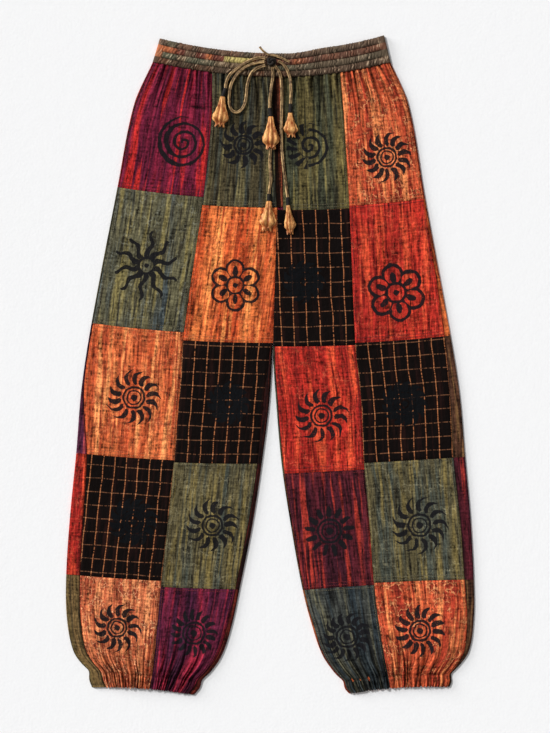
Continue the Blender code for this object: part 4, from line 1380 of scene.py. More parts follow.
def waist_point(distance: np.ndarray) -> tuple[np.ndarray, np.ndarray]:
    """The x and y of the waist seam at distances along x from its right end."""
    right, left = RIGHT.sections[0], LEFT.sections[0]
    to_centre = right.outer_width + right.inner_width
    whole = to_centre + left.inner_width + left.outer_width
    pieces = (
        (distance <= right.outer_width, RIGHT, Column.OUTER, right, distance),
        (
            (distance > right.outer_width) & (distance <= to_centre), RIGHT, Column.INNER, right,
            to_centre - distance
        ),
        (
            (distance > to_centre) & (distance <= to_centre + left.inner_width), LEFT, Column.INNER, left,
            distance - to_centre
        ),
        (distance > to_centre + left.inner_width, LEFT, Column.OUTER, left, whole - distance),
    )
    x, y = np.zeros_like(distance), np.zeros_like(distance)
    for here, leg, column, row, inward in pieces:
        x[here], y[here] = leg.plan(column, row, inward[here])
    return x, y


@dataclass
class Waistband:
    """The elastic waistband: one loop with four channels, drawn up into fine ribs."""

    wall: float = 2.2
    radius: float = 3.75
    height_right: float = 35.0
    height_left: float = 40.0
    lean: float = 0.057
    channels: int = 4
    ribs: int = 74
    bulge: float = 2.3
    groove: float = 1.5
    rib: float = 0.75
    slant: float = 0.9
    rows: int = 40

    def plan(self, distance: np.ndarray, up: float | np.ndarray) -> tuple[np.ndarray, np.ndarray]:
        """The x and y of points at distances along and a share of the height up."""
        x, y = waist_point(distance)
        centre = RIGHT.sections[0].seam_x + RIGHT.sections[0].inner_width
        height = self.height_right + (self.height_left - self.height_right) * smooth((x - 30) / 60)
        return x - self.lean * (x - centre) * up, y + height * up

    def finish(self) -> bpy.types.Material:
        """Its cloth: bands of brown, rust, sage and grey along it, with painted shade in the creases between the ribs
        and painted highlights on its pleats.
        """
        material, g, shader = new_material("waistband_cotton")
        weave = g.node("ShaderNodeUVMap", uv_map="Weave").outputs[0]
        place = g.node("ShaderNodeSeparateXYZ", {0: weave}).outputs
        along, up = place[0], place[1]
        channel = g.maths("FLOOR", g.over(up, 0.037 / self.channels))
        segment = g.noise(g.vector(g.times(along, 34.0), g.times(channel, 7.3), 2.0), 1.0)
        colour = g.mix(g.step(channel, 0.4, 0.6), linear((84, 66, 52)), linear((96, 92, 74)))
        colour = g.mix(g.step(channel, 1.4, 1.6), colour, linear((116, 66, 54)))
        colour = g.mix(g.step(channel, 2.4, 2.6), colour, linear((100, 82, 68)))
        rightward = g.step(along, -0.02, 0.10)
        second = g.step(g.maths("ABSOLUTE", g.minus(channel, 2.0)), 0.5, 0.4)
        rust = g.times(g.step(segment, 0.48, 0.58), g.plus(0.12, g.times(second, 0.7)))
        rust = g.times(rust, g.minus(1.0, g.times(rightward, 0.7)))
        colour = g.mix(rust, colour, linear((196, 114, 72)))
        hip = g.times(
            g.step(g.times(along, -1.0), 0.166, 0.170),
            g.step(g.maths("ABSOLUTE", g.minus(channel, 1.5)), 0.9, 0.6)
        )
        colour = g.mix(g.times(hip, 0.7), colour, linear((184, 108, 72)))
        colour = g.mix(g.times(g.step(g.minus(1.0, segment), 0.55, 0.65), 0.5), colour, linear((98, 98, 78)))
        middle = g.step(g.minus(0.024, g.maths("ABSOLUTE", g.plus(along, 0.052))), 0.0, 0.004)
        colour = g.mix(g.times(g.times(middle, second), 0.9), colour, linear((196, 180, 112)))
        colour = g.mix(g.times(rightward, 0.6), colour, linear((94, 76, 62)))
        # The slanted crease noise stands for the pleats' shading: the tone below paints shade in its troughs and light
        # on its crests.
        crease = g.noise(
            g.vector(g.times(g.plus(along, g.times(up, -0.35)), 330.0), g.times(up, 90.0), 1.0), 2.0, 0.6
        )
        # Pale lines on the crease crests: partly the band's threads, partly painted highlights on the pleats.
        colour = g.mix(g.times(g.step(crease, 0.56, 0.70), 0.55), colour, linear((196, 172, 142)))
        # Painted shade between the ribs and along the channels' lines.
        hollow = g.hollow()
        tone = g.times(g.plus(0.15, g.times(crease, 1.7)), g.minus(1.0, g.times(hollow, 0.9)))
        colour = g.scaled(1.0, colour, g.vector(tone, tone, tone))
        grain = g.noise(g.stretched(weave, (900.0, 900.0, 1.0)), 2.0)
        g.feed(shader.inputs["Base Color"], colour)
        shader.inputs["Roughness"].default_value = 0.92
        shader.inputs["Specular IOR Level"].default_value = 0.1
        height = g.plus(crease, g.times(grain, 0.4))
        g.feed(
            shader.inputs["Normal"],
            g.node("ShaderNodeBump", {"Strength": 0.9, "Distance": 0.0012, "Height": height}).outputs[0]
        )
        return material

    def build(self) -> bpy.types.Object:
        """Makes the band in place of its solid."""
        right, left = RIGHT.sections[0], LEFT.sections[0]
        width = right.outer_width + right.inner_width + left.inner_width + left.outer_width
        r = self.radius
        turns = np.linspace(0, math.pi / 2, 7)
        front = np.linspace(r, width - r, self.ribs * 7)
        back = np.linspace(width - r, r, 150)
        share = (front - r) / (width - 2 * r)
        phase = 2 * math.pi * (
            self.ribs * share
            + 0.5 * np.sin(2 * math.pi * 7 * share)
            + 0.3 * np.sin(2 * math.pi * 17 * share)
        )
        ends = smooth(share * 60) * smooth((1 - share) * 60)
        lie = (0.65 + 0.35 * np.sin(2 * math.pi * 13 * share + 1)) * ends
        distance = np.concatenate([
            r * (1 - np.cos(turns[:-1])), front, width - r + r * np.cos(turns[::-1][1:]),
            width - r + r * np.cos(turns[1:-1]), back, r * (1 - np.cos(turns[::-1][1:-1])),
        ])
        level = np.concatenate([
            np.sin(turns[:-1]), np.ones_like(front), np.sin(turns[::-1][1:]),
            -np.sin(turns[1:-1]), -np.ones_like(back), -np.sin(turns[::-1][1:-1]),
        ])
        lead, trail = len(turns) - 1, len(distance) - len(turns) + 1 - len(front)
        on_front = np.concatenate([
            np.zeros(lead), smooth(share * 40) * smooth((1 - share) * 40), np.zeros(trail)
        ])
        under = np.where(level < -0.999, 0.35 * (1 - np.cos(2 * math.pi * distance / 5.1)) / 2, 0.0)
        outer, uv, painted_shades = [], [], []
        for k in range(self.rows + 1):
            up = k / self.rows
            swell = abs(math.sin(math.pi * self.channels * up)) ** 0.55
            turned = np.cos(phase + 2 * math.pi * (self.slant * up + 0.25 * math.sin(2 * math.pi * self.channels * up)))
            ribs = (2 * ((1 + turned) / 2) ** 0.7 - 1) * lie
            rib = np.concatenate([np.zeros(lead), ribs, np.zeros(trail)])
            scallop = rib * 0.016 * (1 if k == self.rows else -1 if k == 0 else 0)
            x, y = self.plan(distance, up + scallop)
            z = (
                r * (1 + level) + under
                + on_front * (self.bulge * swell - self.groove)
                + rib * self.rib * (0.3 + 0.7 * swell)
            )
            outer.append(np.stack([x, y, z], axis=-1))
            uv.append(np.stack([distance - width / 2, np.full_like(distance, up * 36.99)], axis=-1) * MM)
            # Painted shade in the ribs' troughs and along the lines between the channels.
            painted_shades.append(on_front * (smooth(-rib * 1.2) * 0.75 + 0.35 * (1 - swell)))
        inner = []
        thin = 1 - self.wall / r
        for up in (0.0, 1.0):
            shrunk = np.where(distance < r, r - (r - distance) * thin, distance)
            shrunk = np.where(distance > width - r, width - r + (distance - width + r) * thin, shrunk)
            x, y = self.plan(shrunk, up)
            inner.append(np.stack([x, y, r * (1 + level * thin)], axis=-1))
            uv.append(np.stack([distance - width / 2, np.full_like(distance, up * 36.99)], axis=-1) * MM)
            painted_shades.append(np.zeros_like(distance))
        columns = len(distance)
        rows = self.rows + 1
        count = rows * columns
        faces = grid_faces(rows, columns, 0, ring=True)
        faces += grid_faces(2, columns, count, ring=True, flip=True)
        for c in range(columns):
            after = (c + 1) % columns
            faces.append((after, c, count + c, count + after))
            low, high = (rows - 1) * columns, count + columns
            faces.append((low + c, low + after, high + after, high + c))
        points = np.concatenate([np.concatenate(outer), np.concatenate(inner)])
        piece = add_piece(
            "waistband_cloth", points, faces, self.finish(), np.concatenate(uv), hollow=np.concatenate(painted_shades)
        )
        face_up(piece)
        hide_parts("waistband")
        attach(piece, "root")
        return piece


def face_up(piece: bpy.types.Object) -> None:
    """Turns every face of a closed piece outwards."""
    shape = bmesh.new()
    shape.from_mesh(piece.data)
    bmesh.ops.recalc_face_normals(shape, faces=shape.faces)
    shape.to_mesh(piece.data)
    shape.free()


@dataclass
class CentreStrip:
    """The narrow strip behind the centre front, with a painted shadow along one side."""

    depth: float = 1.5
    underlap: float = 2.0

    def build(self) -> bpy.types.Object:
        """Makes the strip in place of its solid."""
        end = RIGHT.inner_rows[1]
        rows, places = [], []
        for down in np.linspace(SEAM_GAP, end - SEAM_GAP, 90):
            rights = RIGHT.section(Column.INNER, 1, float(down))
            lefts = LEFT.section(Column.INNER, 1, float(down))
            z = read(HEIGHTS, float(down)).top - self.depth
            a = RIGHT.plan(
                Column.INNER, rights,
                np.array([RIGHT.start(Column.INNER, 1, rights, float(down)) + self.underlap])
            )
            b = LEFT.plan(
                Column.INNER, lefts,
                np.array([LEFT.start(Column.INNER, 1, lefts, float(down)) + self.underlap])
            )
            t = np.linspace(0, 1, 14)
            x, y = a[0] + (b[0] - a[0]) * t, a[1] + (b[1] - a[1]) * t
            fold = 0.5 * np.sin(3 * math.pi * t) * np.sin(math.pi * t)
            rows.append(np.stack([x, y, z + fold], axis=-1))
            # Painted shadow over the part nearer the right leg, as if cast by that patch's raised edge beside it.
            places.append(np.stack(
                [t * 22, np.full_like(t, down), smooth((0.62 - t) * 5) * 0.85 / MM], axis=-1
            ) * MM)
        points, faces = sheet_mesh(np.stack(rows), CLOTH, up=True)
        cloth = np.concatenate([*places, *places])
        material = cotton_material("centre_strip_cotton", Cloth.FLY, 2.0)
        piece = add_piece("centre_strip_cloth", points, faces, material, cloth[:, :2], hollow=cloth[:, 2])
        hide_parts("centre_strip")
        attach(piece, "root")
        return piece


# ---- Cords, knot and tassels ---------------------------------------------------------------

BAND_TOP = 8.7
CORD_REST = 0.5
KNOT = (2.0, 457.0)
KNOT_RADII = (7.5, 6.0, 4.5)


class Cord(NamedTuple):
    """A cord's route on the plan and what ends it."""

    name: str
    tassel: str
    route: tuple[tuple[float, float], ...]


CORDS = (
    Cord("cord_right", "tassel_right", (
        (-6.4, 461.8), (-13.4, 463.0), (-23.0, 461.6), (-36.3, 455.6), (-50.0, 446.2),
        (-60.4, 436.8), (-65.4, 426.4), (-66.7, 417.4),
    )),
    Cord("cord_loop", "", (
        (-6.8, 451.4), (-13.4, 449.8), (-20.6, 446.6), (-27.0, 440.8), (-31.2, 432.6), (-34.2, 421.5),
        (-35.3, 409.2), (-36.6, 399.0), (-39.8, 389.6), (-44.8, 383.6), (-50.6, 381.3), (-56.6, 384.0),
        (-60.2, 390.8), (-61.2, 400.5), (-60.4, 412.5), (-57.8, 423.8), (-53.2, 432.8), (-46.0, 441.8),
        (-36.8, 448.6), (-26.3, 453.6), (-16.6, 456.0), (-8.2, 456.4),
    )),
    Cord("cord_left", "tassel_left", (
        (12.4, 457.4), (16.6, 455.6), (21.8, 450.6), (26.3, 443.3), (29.6, 434.0), (31.0, 423.6),
        (31.4, 409.2), (30.8, 393.9),
    )),
    Cord("cord_left_inner", "tassel_left_low", (
        (7.4, 450.0), (11.0, 446.0), (14.2, 440.0), (16.4, 432.0), (17.3, 421.5), (17.6, 408.0),
        (17.4, 385.5), (17.0, 355.5), (18.0, 325.5), (20.5, 298.5), (23.6, 274.5), (26.5, 254.4),
    )),
    Cord("cord_centre", "tassel_centre", (
        (3.4, 448.6), (4.2, 441.0), (3.8, 430.5), (2.1, 418.5), (0.7, 408.0), (-0.3, 398.0), (-0.4, 387.9),
    )),
    Cord("cord_centre_low", "tassel_centre_low", (
        (0.9, 327.4), (-0.3, 313.5), (0.0, 303.0), (0.9, 291.0), (1.4, 280.5), (-0.2, 271.0), (-1.5, 259.4),
    )),
    Cord("cord_tip", "", (
        (29.5, 457.0), (22.5, 460.2), (15.0, 463.6), (7.0, 466.0), (-0.5, 467.2), (-6.5, 470.2),
        (-11.8, 474.8), (-15.5, 479.5),
    )),
)


class Tassel(NamedTuple):
    """A gathered cloth bell: where its binding starts, its neck, its mouth and its width."""

    name: str
    wrap: tuple[float, float]
    neck: tuple[float, float]
    mouth: tuple[float, float]
    width: float


TASSELS = (
    Tassel("tassel_right", (-66.8, 417.0), (-71.1, 402.8), (-75.5, 361.5), 23),
    Tassel("tassel_centre", (-0.4, 387.5), (1.4, 373.0), (1.2, 328.0), 24),
    Tassel("tassel_left", (30.8, 393.5), (30.4, 379.5), (31.0, 346.0), 18),
    Tassel("tassel_centre_low", (-1.5, 259.0), (-1.5, 246.8), (-4.5, 206.0), 23),
    Tassel("tassel_left_low", (26.5, 254.0), (27.2, 241.5), (30.0, 201.0), 16),
)


def crest(y: float) -> float:
    """How high the cloth reaches near the centre front."""
    if y > WAIST_Y:
        return BAND_TOP
    height = read(HEIGHTS, WAIST_Y - y)
    return height.top + 2 * height.gather


def curve_through(points: np.ndarray, apart: float) -> np.ndarray:
    """Points at even distances along a smooth curve through a route's own points.

    Args:
        points: the route.
        apart: the distance wanted between two points.

    Returns:
        The points.
    """
    padded = np.concatenate([[2 * points[0] - points[1]], points, [2 * points[-1] - points[-2]]])
    t = np.linspace(0, 1, 24, endpoint=False)[:, None]
    fine = []
    for p0, p1, p2, p3 in zip(padded, padded[1:], padded[2:], padded[3:]):
        fine.append(0.5 * (
            2 * p1 + (p2 - p0) * t
            + (2 * p0 - 5 * p1 + 4 * p2 - p3) * t**2
            + (3 * p1 - p0 - 3 * p2 + p3) * t**3
        ))
    line = np.concatenate([*fine, points[-1:]])
    lengths = np.concatenate([[0.0], np.cumsum(np.linalg.norm(np.diff(line, axis=0), axis=1))])
    wanted = np.linspace(0, lengths[-1], max(2, round(lengths[-1] / apart) + 1))
    return np.stack([np.interp(wanted, lengths, line[:, k]) for k in range(3)], axis=-1)


def sweep(
    path: np.ndarray, sides: int, section: Callable[[np.ndarray, float], np.ndarray], closed: bool = False,
) -> tuple[np.ndarray, list, np.ndarray]:
    """A tube along a path, with its own section at each place.

    Args:
        path: the centreline's points.
        sides: points round the section.
        section: the radius at angles round it, at a share of the length; 90 degrees is up.
        closed: whether the path is a loop.

    Returns:
        The points, the faces and each point's place on the cloth.
    """
    tangent = np.gradient(path, axis=0)
    if closed:
        tangent = np.roll(path, -1, axis=0) - np.roll(path, 1, axis=0)
    tangent /= np.linalg.norm(tangent, axis=1, keepdims=True)
    across = np.cross(tangent, (0, 0, 1.0))
    across /= np.maximum(np.linalg.norm(across, axis=1, keepdims=True), 1e-6)
    upward = np.cross(across, tangent)
    turn = np.linspace(0, 2 * math.pi, sides, endpoint=False)
    travelled = np.concatenate([[0.0], np.cumsum(np.linalg.norm(np.diff(path, axis=0), axis=1))])
    rings, places = [], []
    for k, centre in enumerate(path):
        radius = section(turn, k / (len(path) - 1))[:, None]
        rings.append(centre + radius * (np.cos(turn)[
            :, None
        ] * across[k] + np.sin(turn)[:, None] * upward[k]))
        places.append(np.stack([np.full(sides, travelled[k]), turn / (2 * math.pi) * 12], axis=-1) * MM)
    points, uv = np.concatenate(rings), np.concatenate(places)
    faces = grid_faces(len(path), sides, 0, ring=True)
    if closed:
        last = (len(path) - 1) * sides
        faces += [(last + c, last + (c + 1) % sides, (c + 1) % sides, c) for c in range(sides)]
    else:
        faces.append(tuple(range(sides))[::-1])
        faces.append(tuple((len(path) - 1) * sides + c for c in range(sides)))
    return points, faces, uv


BELL_PROFILE = (  # shares of the way from a bell's neck to its mouth, and its width there as a share
    (-0.04, 0.0, 0.12, 0.3, 0.5, 0.64, 0.73, 0.81, 0.87, 0.91, 0.95, 1.0),
    (0.30, 0.38, 0.42, 0.56, 0.80, 0.98, 1.04, 0.92, 0.66, 0.55, 0.58, 0.62),
)


@dataclass
class Drawstring:
    """The drawstring: its cords, the bow's knot and the tassels on its ends."""

    radius: float = 2.0
    tip_radius: float = 1.5
    sides: int = 18

    def path(self, cord: Cord) -> np.ndarray:
        """A cord's centreline: it leaves the knot raised and then lies on the cloth."""
        radius = self.tip_radius if cord.name == "cord_tip" else self.radius
        points = []
        for k, (x, y) in enumerate(cord.route):
            z = crest(y) + CORD_REST + radius
            leaves = k == 0 and cord.name not in ("cord_tip", "cord_centre_low")
            returns = k == len(cord.route) - 1 and cord.name == "cord_loop"
            if leaves or returns:
                z = BAND_TOP + KNOT_RADII[2]
            points.append((x, y, z))
        return curve_through(np.array(points, dtype=float), 1.2)

    def build_cord(self, cord: Cord) -> bpy.types.Object:
        """Makes one cord, of cloth folded in on itself, in place of its solid, with painted shade in its groove.

        Args:
            cord: which one.

        Returns:
            The cord.
        """
        path = self.path(cord)
        radius = self.tip_radius if cord.name == "cord_tip" else self.radius

        def section(turn: np.ndarray, share: float) -> np.ndarray:
            """Round, with the fold's groove wandering along the top."""
            groove = math.pi / 2 + 0.5 * math.sin(share * 9)
            off = np.angle(np.exp(1j * (turn - groove)))
            lumps = 1 + 0.03 * math.sin(share * len(path) * 0.9)
            return radius * lumps * (1.1 - 0.48 * np.exp(-((off / 0.46) ** 2)))

        points, faces, uv = sweep(path, self.sides, section)
        turn = np.linspace(0, 2 * math.pi, self.sides, endpoint=False)
        # Painted shade along the fold's groove, where the section dips in.
        hollow = [2.4 * (1.05 - section(turn, k / (len(path) - 1)) / radius) for k in range(len(path))]
        piece = add_piece(
            f"{cord.name}_cloth", points, faces, CORD_CLOTH.material(), uv, hollow=np.concatenate(hollow)
        )
        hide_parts(cord.name)
        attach(piece, "root")
        length = float(np.linalg.norm(np.diff(path, axis=0), axis=1).sum()) * MM
        "fitting" if cord.tassel else "object" if cord.name == "cord_loop" else "bare"
        LOG.info("%s: %.0f mm", cord.name, length / MM)
        return piece

    def knot(self) -> bpy.types.Object:
        """Makes the bow's knot, wound on itself, in place of its solid."""
        t = np.linspace(0, 2 * math.pi, 150, endpoint=False)
        x = (2 + np.cos(3 * t)) * np.cos(2 * t) / 3 * (KNOT_RADII[0] - 1.6)
        y = (2 + np.cos(3 * t)) * np.sin(2 * t) / 3 * (KNOT_RADII[1] - 1.4)
        z = np.sin(3 * t) * (KNOT_RADII[2] - 2.2)
        middle = np.array([*KNOT, BAND_TOP + SEAM_GAP + KNOT_RADII[2]])
        path = np.stack([x, y, z], axis=-1) + middle
        points, faces, uv = sweep(path, 12, lambda turn, share: np.full_like(turn, 2.1), closed=True)
        piece = add_piece("knot_cloth", points, faces, KNOT_CLOTH.material(), uv)
        face_up(piece)
        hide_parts("knot")
        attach(piece, "root")
        return piece

    def bell(self, shape: Tassel) -> bpy.types.Object:
        """Makes a tassel's bell: pleated cloth gathered at its neck, with a turned, open mouth, and painted shade in
        its pleats and mouth.

        Args:
            shape: which tassel.

        Returns:
            The bell.
        """
        wrap, neck, mouth = (np.array([*p, 0.0]) for p in (shape.wrap, shape.neck, shape.mouth))
        axis = (mouth - neck) / np.linalg.norm(mouth - neck)
        sideways = np.array([-axis[1], axis[0], 0.0])
        random = np.random.default_rng(int(shape.width * 7 + abs(shape.neck[0])))
        sides, steps = 60, 30
        turn = np.linspace(0, 2 * math.pi, sides, endpoint=False)
        phases = random.uniform(0, 2 * math.pi, 3)
        pleats = (
            0.5 * np.cos(6 * turn + phases[0])
            + 0.3 * np.cos(9 * turn + phases[1])
            + 0.2 * np.cos(4 * turn + phases[2])
        )
        ground, start = crest(shape.mouth[1] + 6), crest(shape.wrap[1])
        rings, places, painted_shades = [], [], []

        def ring(share: float, size: float, lip: float = 0.0) -> None:
            """Adds one ring of points round the bell."""
            place = neck + (mouth - neck) * share
            flat = 1.0 - 0.5 * float(smooth(share * 1.6))
            depth = 0.16 + 0.2 * float(smooth(share * 1.5)) * (1 - 0.6 * lip)
            crumple = (
                0.09 * np.sin(3 * turn + 11 * share + phases[2])
                * np.sin(17 * share + phases[0]) * smooth(share * 3)
            )
            radius = shape.width / 2 * 0.92 * size * (1 + depth * pleats + crumple)
            tip = 2.4 * float(smooth((share - 0.86) / 0.14)) * np.cos(6 * turn + phases[1])
            # Painted shade: in the pleats' hollows, deeper towards the mouth, in a ring where the mouth draws in, and
            # all over the turned lip.
            painted_shades.append(
                smooth(-pleats * 1.7) * (0.4 + 0.5 * smooth(share * 3))
                + 0.6 * math.exp(-(((share - 0.9) / 0.05) ** 2)) + lip
            )
            whole = float(np.linalg.norm(place - wrap) / np.linalg.norm(mouth - wrap))
            level = start + (ground - start) * float(smooth(whole * 2))
            lift = max(level, crest(float(place[1]))) + SEAM_GAP + shape.width / 2 * size * flat
            offset = sideways * (radius * np.cos(turn))[:, None] + axis * tip[:, None]
            height = lift + radius * flat * np.sin(turn)
            rings.append(place + offset + np.stack([np.zeros(sides), np.zeros(sides), height], axis=-1))
            places.append(np.stack([np.full(sides, share * 45), turn * shape.width / 2], axis=-1) * MM)

        for share in np.linspace(-0.04, 1.0, steps):
            ring(float(share), float(np.interp(share, *BELL_PROFILE)))
        for share, size in ((1.0, 0.58), (0.95, 0.5), (0.86, 0.42)):
            ring(share, size, 1.0)
        points = np.concatenate(rings)
        ends = np.array([rings[0].mean(axis=0), rings[-1].mean(axis=0)])
        uv = np.concatenate([*places, [[0, 0], [0.04, 0]]])
        faces = grid_faces(len(rings), sides, 0, ring=True)
        first, last, base = len(points), len(points) + 1, (len(rings) - 1) * sides
        faces += [(first, (c + 1) % sides, c) for c in range(sides)]
        faces += [(last, base + c, base + (c + 1) % sides) for c in range(sides)]
        piece = add_piece(
            f"{shape.name}_cloth", np.concatenate([points, ends]), faces, TASSEL_CLOTH.material(), uv,
            # The cap across the mouth is fully in painted shade.
            hollow=np.concatenate([*painted_shades, [0.0, 1.0]]),
        )
        face_up(piece)
        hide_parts(shape.name)
        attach(piece, "root")
        return piece

    def binding(self, shape: Tassel) -> bpy.types.Object:
        """Makes the black thread wound round a tassel's neck."""
        wrap, neck = np.array([*shape.wrap, 0.0]), np.array([*shape.neck, 0.0])
        run = float(np.linalg.norm(neck - wrap))
        axis = (neck - wrap) / run
        sideways = np.array([-axis[1], axis[0], 0.0])
        turns = run / 1.1
        t = np.linspace(0, 1, int(turns * 14))
        lift = crest(shape.wrap[1]) + SEAM_GAP + 2.7
        radius = 2.15 + 0.35 * np.sin(math.pi * t)
        centre = wrap + axis * (t * run)[:, None]
        spin = 2 * math.pi * turns * t
        path = centre + sideways * (radius * np.cos(spin))[:, None]
        path[:, 2] += lift + radius * np.sin(spin)
        points, faces, uv = sweep(path, 6, lambda turn, share: np.full_like(turn, 0.62))
        piece = add_piece(f"{shape.name}_binding", points, faces, BINDING_THREAD.material(), uv)
        face_up(piece)
        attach(piece, "root")
        return piece

    def build(self) -> None:
        """Makes the cords, the knot and the tassels."""
        for shape in TASSELS:
            self.bell(shape)
            self.binding(shape)
            shape.name
        knot = self.knot()
        for cord in CORDS:
            cord.name == "cord_loop"
            self.build_cord(cord)


# ---- Stitching -----------------------------------------------------------------------------


def stitch_tree() -> bpy.types.NodeTree:
    """A Geometry Nodes tree that sews a row of stitches along each of its curves.

    Returns:
        The tree, with inputs for the stitches' pitch, length, width and thread.
    """
    tree = bpy.data.node_groups.new("stitch_row", "GeometryNodeTree")
    tree.interface.new_socket(name="Geometry", in_out="INPUT", socket_type="NodeSocketGeometry")
    for label in ("Pitch", "Length", "Width"):
        tree.interface.new_socket(name=label, in_out="INPUT", socket_type="NodeSocketFloat")
    tree.interface.new_socket(name="Thread", in_out="INPUT", socket_type="NodeSocketMaterial")
    tree.interface.new_socket(name="Geometry", in_out="OUTPUT", socket_type="NodeSocketGeometry")
    g = Graph(tree)
    given = g.node("NodeGroupInput").outputs
    spaced = g.node(
        "GeometryNodeResampleCurve", {"Curve": given["Geometry"], "Length": given["Pitch"]}, mode="LENGTH"
    )
    tangent = g.node("GeometryNodeInputTangent").outputs[0]
    turned = g.node("FunctionNodeAlignRotationToVector", {"Vector": tangent}, axis="Z")
    stitch = g.node("GeometryNodeMeshCylinder", {"Vertices": 5, "Radius": 0.5, "Depth": 1.0})
    size = g.node("ShaderNodeCombineXYZ", {0: given["Width"], 1: given["Width"], 2: given["Length"]})
    placed = g.node(
        "GeometryNodeInstanceOnPoints",
        {
            "Points": spaced.outputs[0], "Instance": stitch.outputs[0], "Rotation": turned.outputs[0],
            "Scale": size.outputs[0]
        },
    )
    real = g.node("GeometryNodeRealizeInstances", {0: placed.outputs[0]})
    dressed = g.node("GeometryNodeSetMaterial", {"Geometry": real.outputs[0], "Material": given["Thread"]})
    g.node("NodeGroupOutput", {0: dressed.outputs[0]})
    return tree


@dataclass
class Stitching:
    """The topstitching: rows of stitches in one thread."""

    name: str
    thread: YarnFinish
    pitch: float = 3.3
    length: float = 2.3
    width: float = 0.62

    def __post_init__(self) -> None:
        """Starts with no rows."""
        self.rows: list[np.ndarray] = []

    def build(self) -> bpy.types.Object | None:
        """Sews every row and makes the result one plain mesh."""
        if not self.rows:
            return None
        curve = bpy.data.curves.new(f"{self.name}_lines", "CURVE")
        curve.dimensions = "3D"
        for row in self.rows:
            spline = curve.splines.new("POLY")
            spline.points.add(len(row) - 1)
            metres = np.concatenate([(row - ORIGIN) * MM, np.ones((len(row), 1))], axis=1)
            spline.points.foreach_set("co", metres.astype(np.float32).ravel())
        lines = bpy.data.objects.new(f"{self.name}_lines", curve)
        bpy.context.scene.collection.objects.link(lines)
        tree = bpy.data.node_groups.get("stitch_row") or stitch_tree()
        modifier = lines.modifiers.new("stitches", "NODES")
        modifier.node_group = tree
        values = {
            "Pitch": self.pitch * MM, "Length": self.length * MM, "Width": self.width * MM,
            "Thread": self.thread.material()
        }
        for item in tree.interface.items_tree:
            if item.item_type == "SOCKET" and item.in_out == "INPUT" and item.name in values:
                modifier[item.identifier] = values[item.name]
        ready = lines.evaluated_get(bpy.context.evaluated_depsgraph_get())
        mesh = bpy.data.meshes.new_from_object(ready)
        mesh.name = self.name
        if "Weave" not in mesh.uv_layers:
            mesh.uv_layers.new(name="Weave")
        piece = bpy.data.objects.new(self.name, mesh)
        bpy.context.scene.collection.objects.link(piece)
        bpy.data.objects.remove(lines)
        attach(piece, "root")
        LOG.info("%s: %d rows", self.name, len(self.rows))
        return piece


def topstitch(patches: list[FrontPatch]) -> None:
    """Sews the rows that run along the patches' edges.

    Args:
        patches: the front's patches.
    """
    tan = Stitching("tan_topstitching", TAN_THREAD)
    red = Stitching("red_topstitching", RED_THREAD)
    grey = Stitching("grey_topstitching", GREY_THREAD)
    dark = Stitching("dark_topstitching", DARK_THREAD, 6.0, 4.2, 1.5)
    greyish = (Cloth.SLATE, Cloth.OLIVE_DARK, Cloth.OLIVE, Cloth.OLIVE_LIGHT, Cloth.BLUE_GREY)
    reddish = (Cloth.BERRY, Cloth.RED, Cloth.MAROON, Cloth.MAGENTA)
    for patch in patches:
        if isinstance(patch.cloth.value, Windowpane):
            continue
        thread = grey if patch.cloth in greyish else red if patch.cloth in reddish else tan
        top, end = patch.ends()
        if patch.row_number < 5:
            thread.rows += [patch.across(end - off, THREAD_RISE) for off in SEAM_ROWS]
        if patch.row_number > 1:
            thread.rows.append(patch.across(top + SEAM_ROWS[0], THREAD_RISE))
        last = 900 if patch.row_number == 5 else end - 9
        downs = np.linspace(top + 9, last, 60)
        thread.rows.append(patch.line(BY_COLUMN_SEAM, downs, THREAD_RISE))
        if patch.row_number in (3, 4, 5) or patch.column is Column.OUTER:
            thread.rows.append(patch.line(BY_EDGE, downs, THREAD_RISE))
    hip = next(p for p in patches if p.name == "right_front_outer_1")
    dark.rows.append(hip.line(0.0, np.linspace(34, 138, 40), 0.0))
    for sewn in (tan, red, grey, dark):
        sewn.build()


# ---- Stage ---------------------------------------------------------------------------------


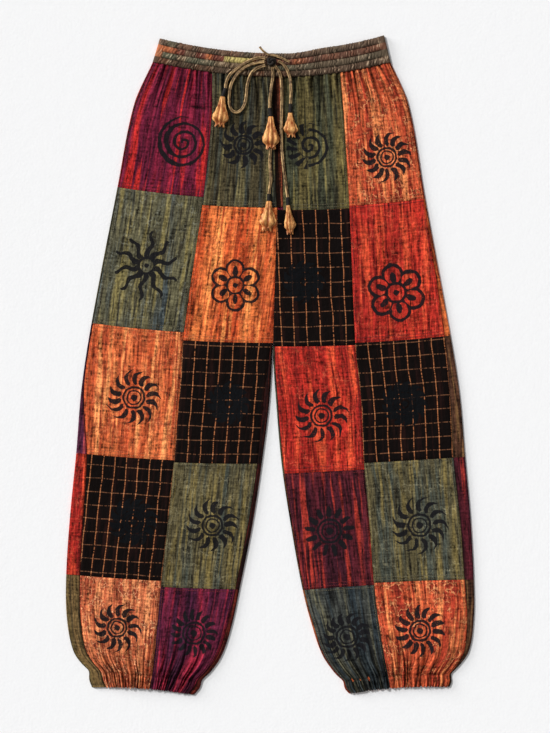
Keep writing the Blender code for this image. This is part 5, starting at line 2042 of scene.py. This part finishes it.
@dataclass
class Studio:
    """The pale floor, the soft light and the camera straight above."""

    lens: float = 100.0
    view_height: float = 1.0995
    aim: tuple[float, float] = (0.00737, -0.00207)

    def floor(self) -> None:
        """Makes the plaster floor."""
        mesh = bpy.data.meshes.new("floor")
        mesh.from_pydata([(-4, -4, 0), (4, -4, 0), (4, 4, 0), (-4, 4, 0)], [], [(0, 1, 2, 3)])
        material, g, shader = new_material("floor_plaster")
        place = g.node("ShaderNodeTexCoord").outputs["Object"]
        near = g.node(
            "ShaderNodeTexNoise", {"Vector": place, "Scale": 260.0, "Detail": 4.0, "Roughness": 0.6}
        ).outputs[0]
        far = g.node("ShaderNodeTexNoise", {"Vector": place, "Scale": 60.0, "Detail": 2.0}).outputs[0]
        height = g.plus(near, g.times(far, 0.8))
        g.feed(shader.inputs["Base Color"], g.mix(near, linear((238, 238, 239)), linear((246, 246, 246))))
        shader.inputs["Roughness"].default_value = 0.95
        g.feed(
            shader.inputs["Normal"],
            g.node("ShaderNodeBump", {"Strength": 0.25, "Distance": 0.0012, "Height": height}).outputs[0]
        )
        mesh.materials.append(material)
        floor = bpy.data.objects.new("floor", mesh)
        bpy.context.scene.collection.objects.link(floor)

    def light(self) -> None:
        """Makes a broad key light from the upper left and an even fill."""
        world = bpy.data.worlds.new("studio")
        world.use_nodes = True
        world.node_tree.nodes["Background"].inputs["Color"].default_value = (0.98, 0.98, 0.985, 1.0)
        world.node_tree.nodes["Background"].inputs["Strength"].default_value = 0.36
        bpy.context.scene.world = world
        for name, energy, angle, aim in (
            ("key", 2.2, 12, (-0.75, 0.62, 1.0)), ("rake", 2.1, 26, (-0.9, 0.45, 0.30)),
        ):
            sun = bpy.data.lights.new(name, "SUN")
            sun.energy = energy
            sun.angle = math.radians(angle)
            lamp = bpy.data.objects.new(name, sun)
            lamp.rotation_euler = Vector(aim).to_track_quat("Z", "Y").to_euler()
            bpy.context.scene.collection.objects.link(lamp)

    def camera(self) -> None:
        """Makes the camera, whose frame is as tall as the photograph's."""
        data = bpy.data.cameras.new("camera")
        data.lens = self.lens
        data.sensor_width = 36.0
        data.clip_end = 50.0
        camera = bpy.data.objects.new("camera", data)
        camera.location = (*self.aim, self.view_height * self.lens / data.sensor_width + 0.005)
        bpy.context.scene.collection.objects.link(camera)
        bpy.context.scene.camera = camera
        bpy.context.scene.view_settings.view_transform = "Standard"

    def build(self) -> None:
        """Makes all of it."""
        self.camera()
        self.floor()
        self.light()


def main() -> None:
    """Builds the trousers and their stage, piece by piece."""
    logging.basicConfig(level=logging.INFO, format="%(name)s: %(message)s")
    Studio().build()
    Drawstring().build()
    handloom_group()
    windowpane_group()
    for kind in PrintKind:
        print_group(kind)
    fronts: list[FrontPatch] = []
    for leg in (RIGHT, LEFT):
        for column in Column:
            for number in range(1, 6):
                back = BackPatch(leg, column, number, BACK_CLOTHS[leg.side, column][number - 1])
                under = back.build()
                back.flat_size()
                cloth, motif = FRONT_CLOTHS[leg.side, column][number - 1]
                front = FrontPatch(leg, column, number, cloth, motif)
                piece = front.build()
                front.flat_size()
                under.name
                fronts.append(front)
                LOG.info("%s: %s", front.name, cloth.name.lower())
    CentreStrip().build()
    Waistband().build()
    topstitch(fronts)


if __name__ == "__main__":
    main()
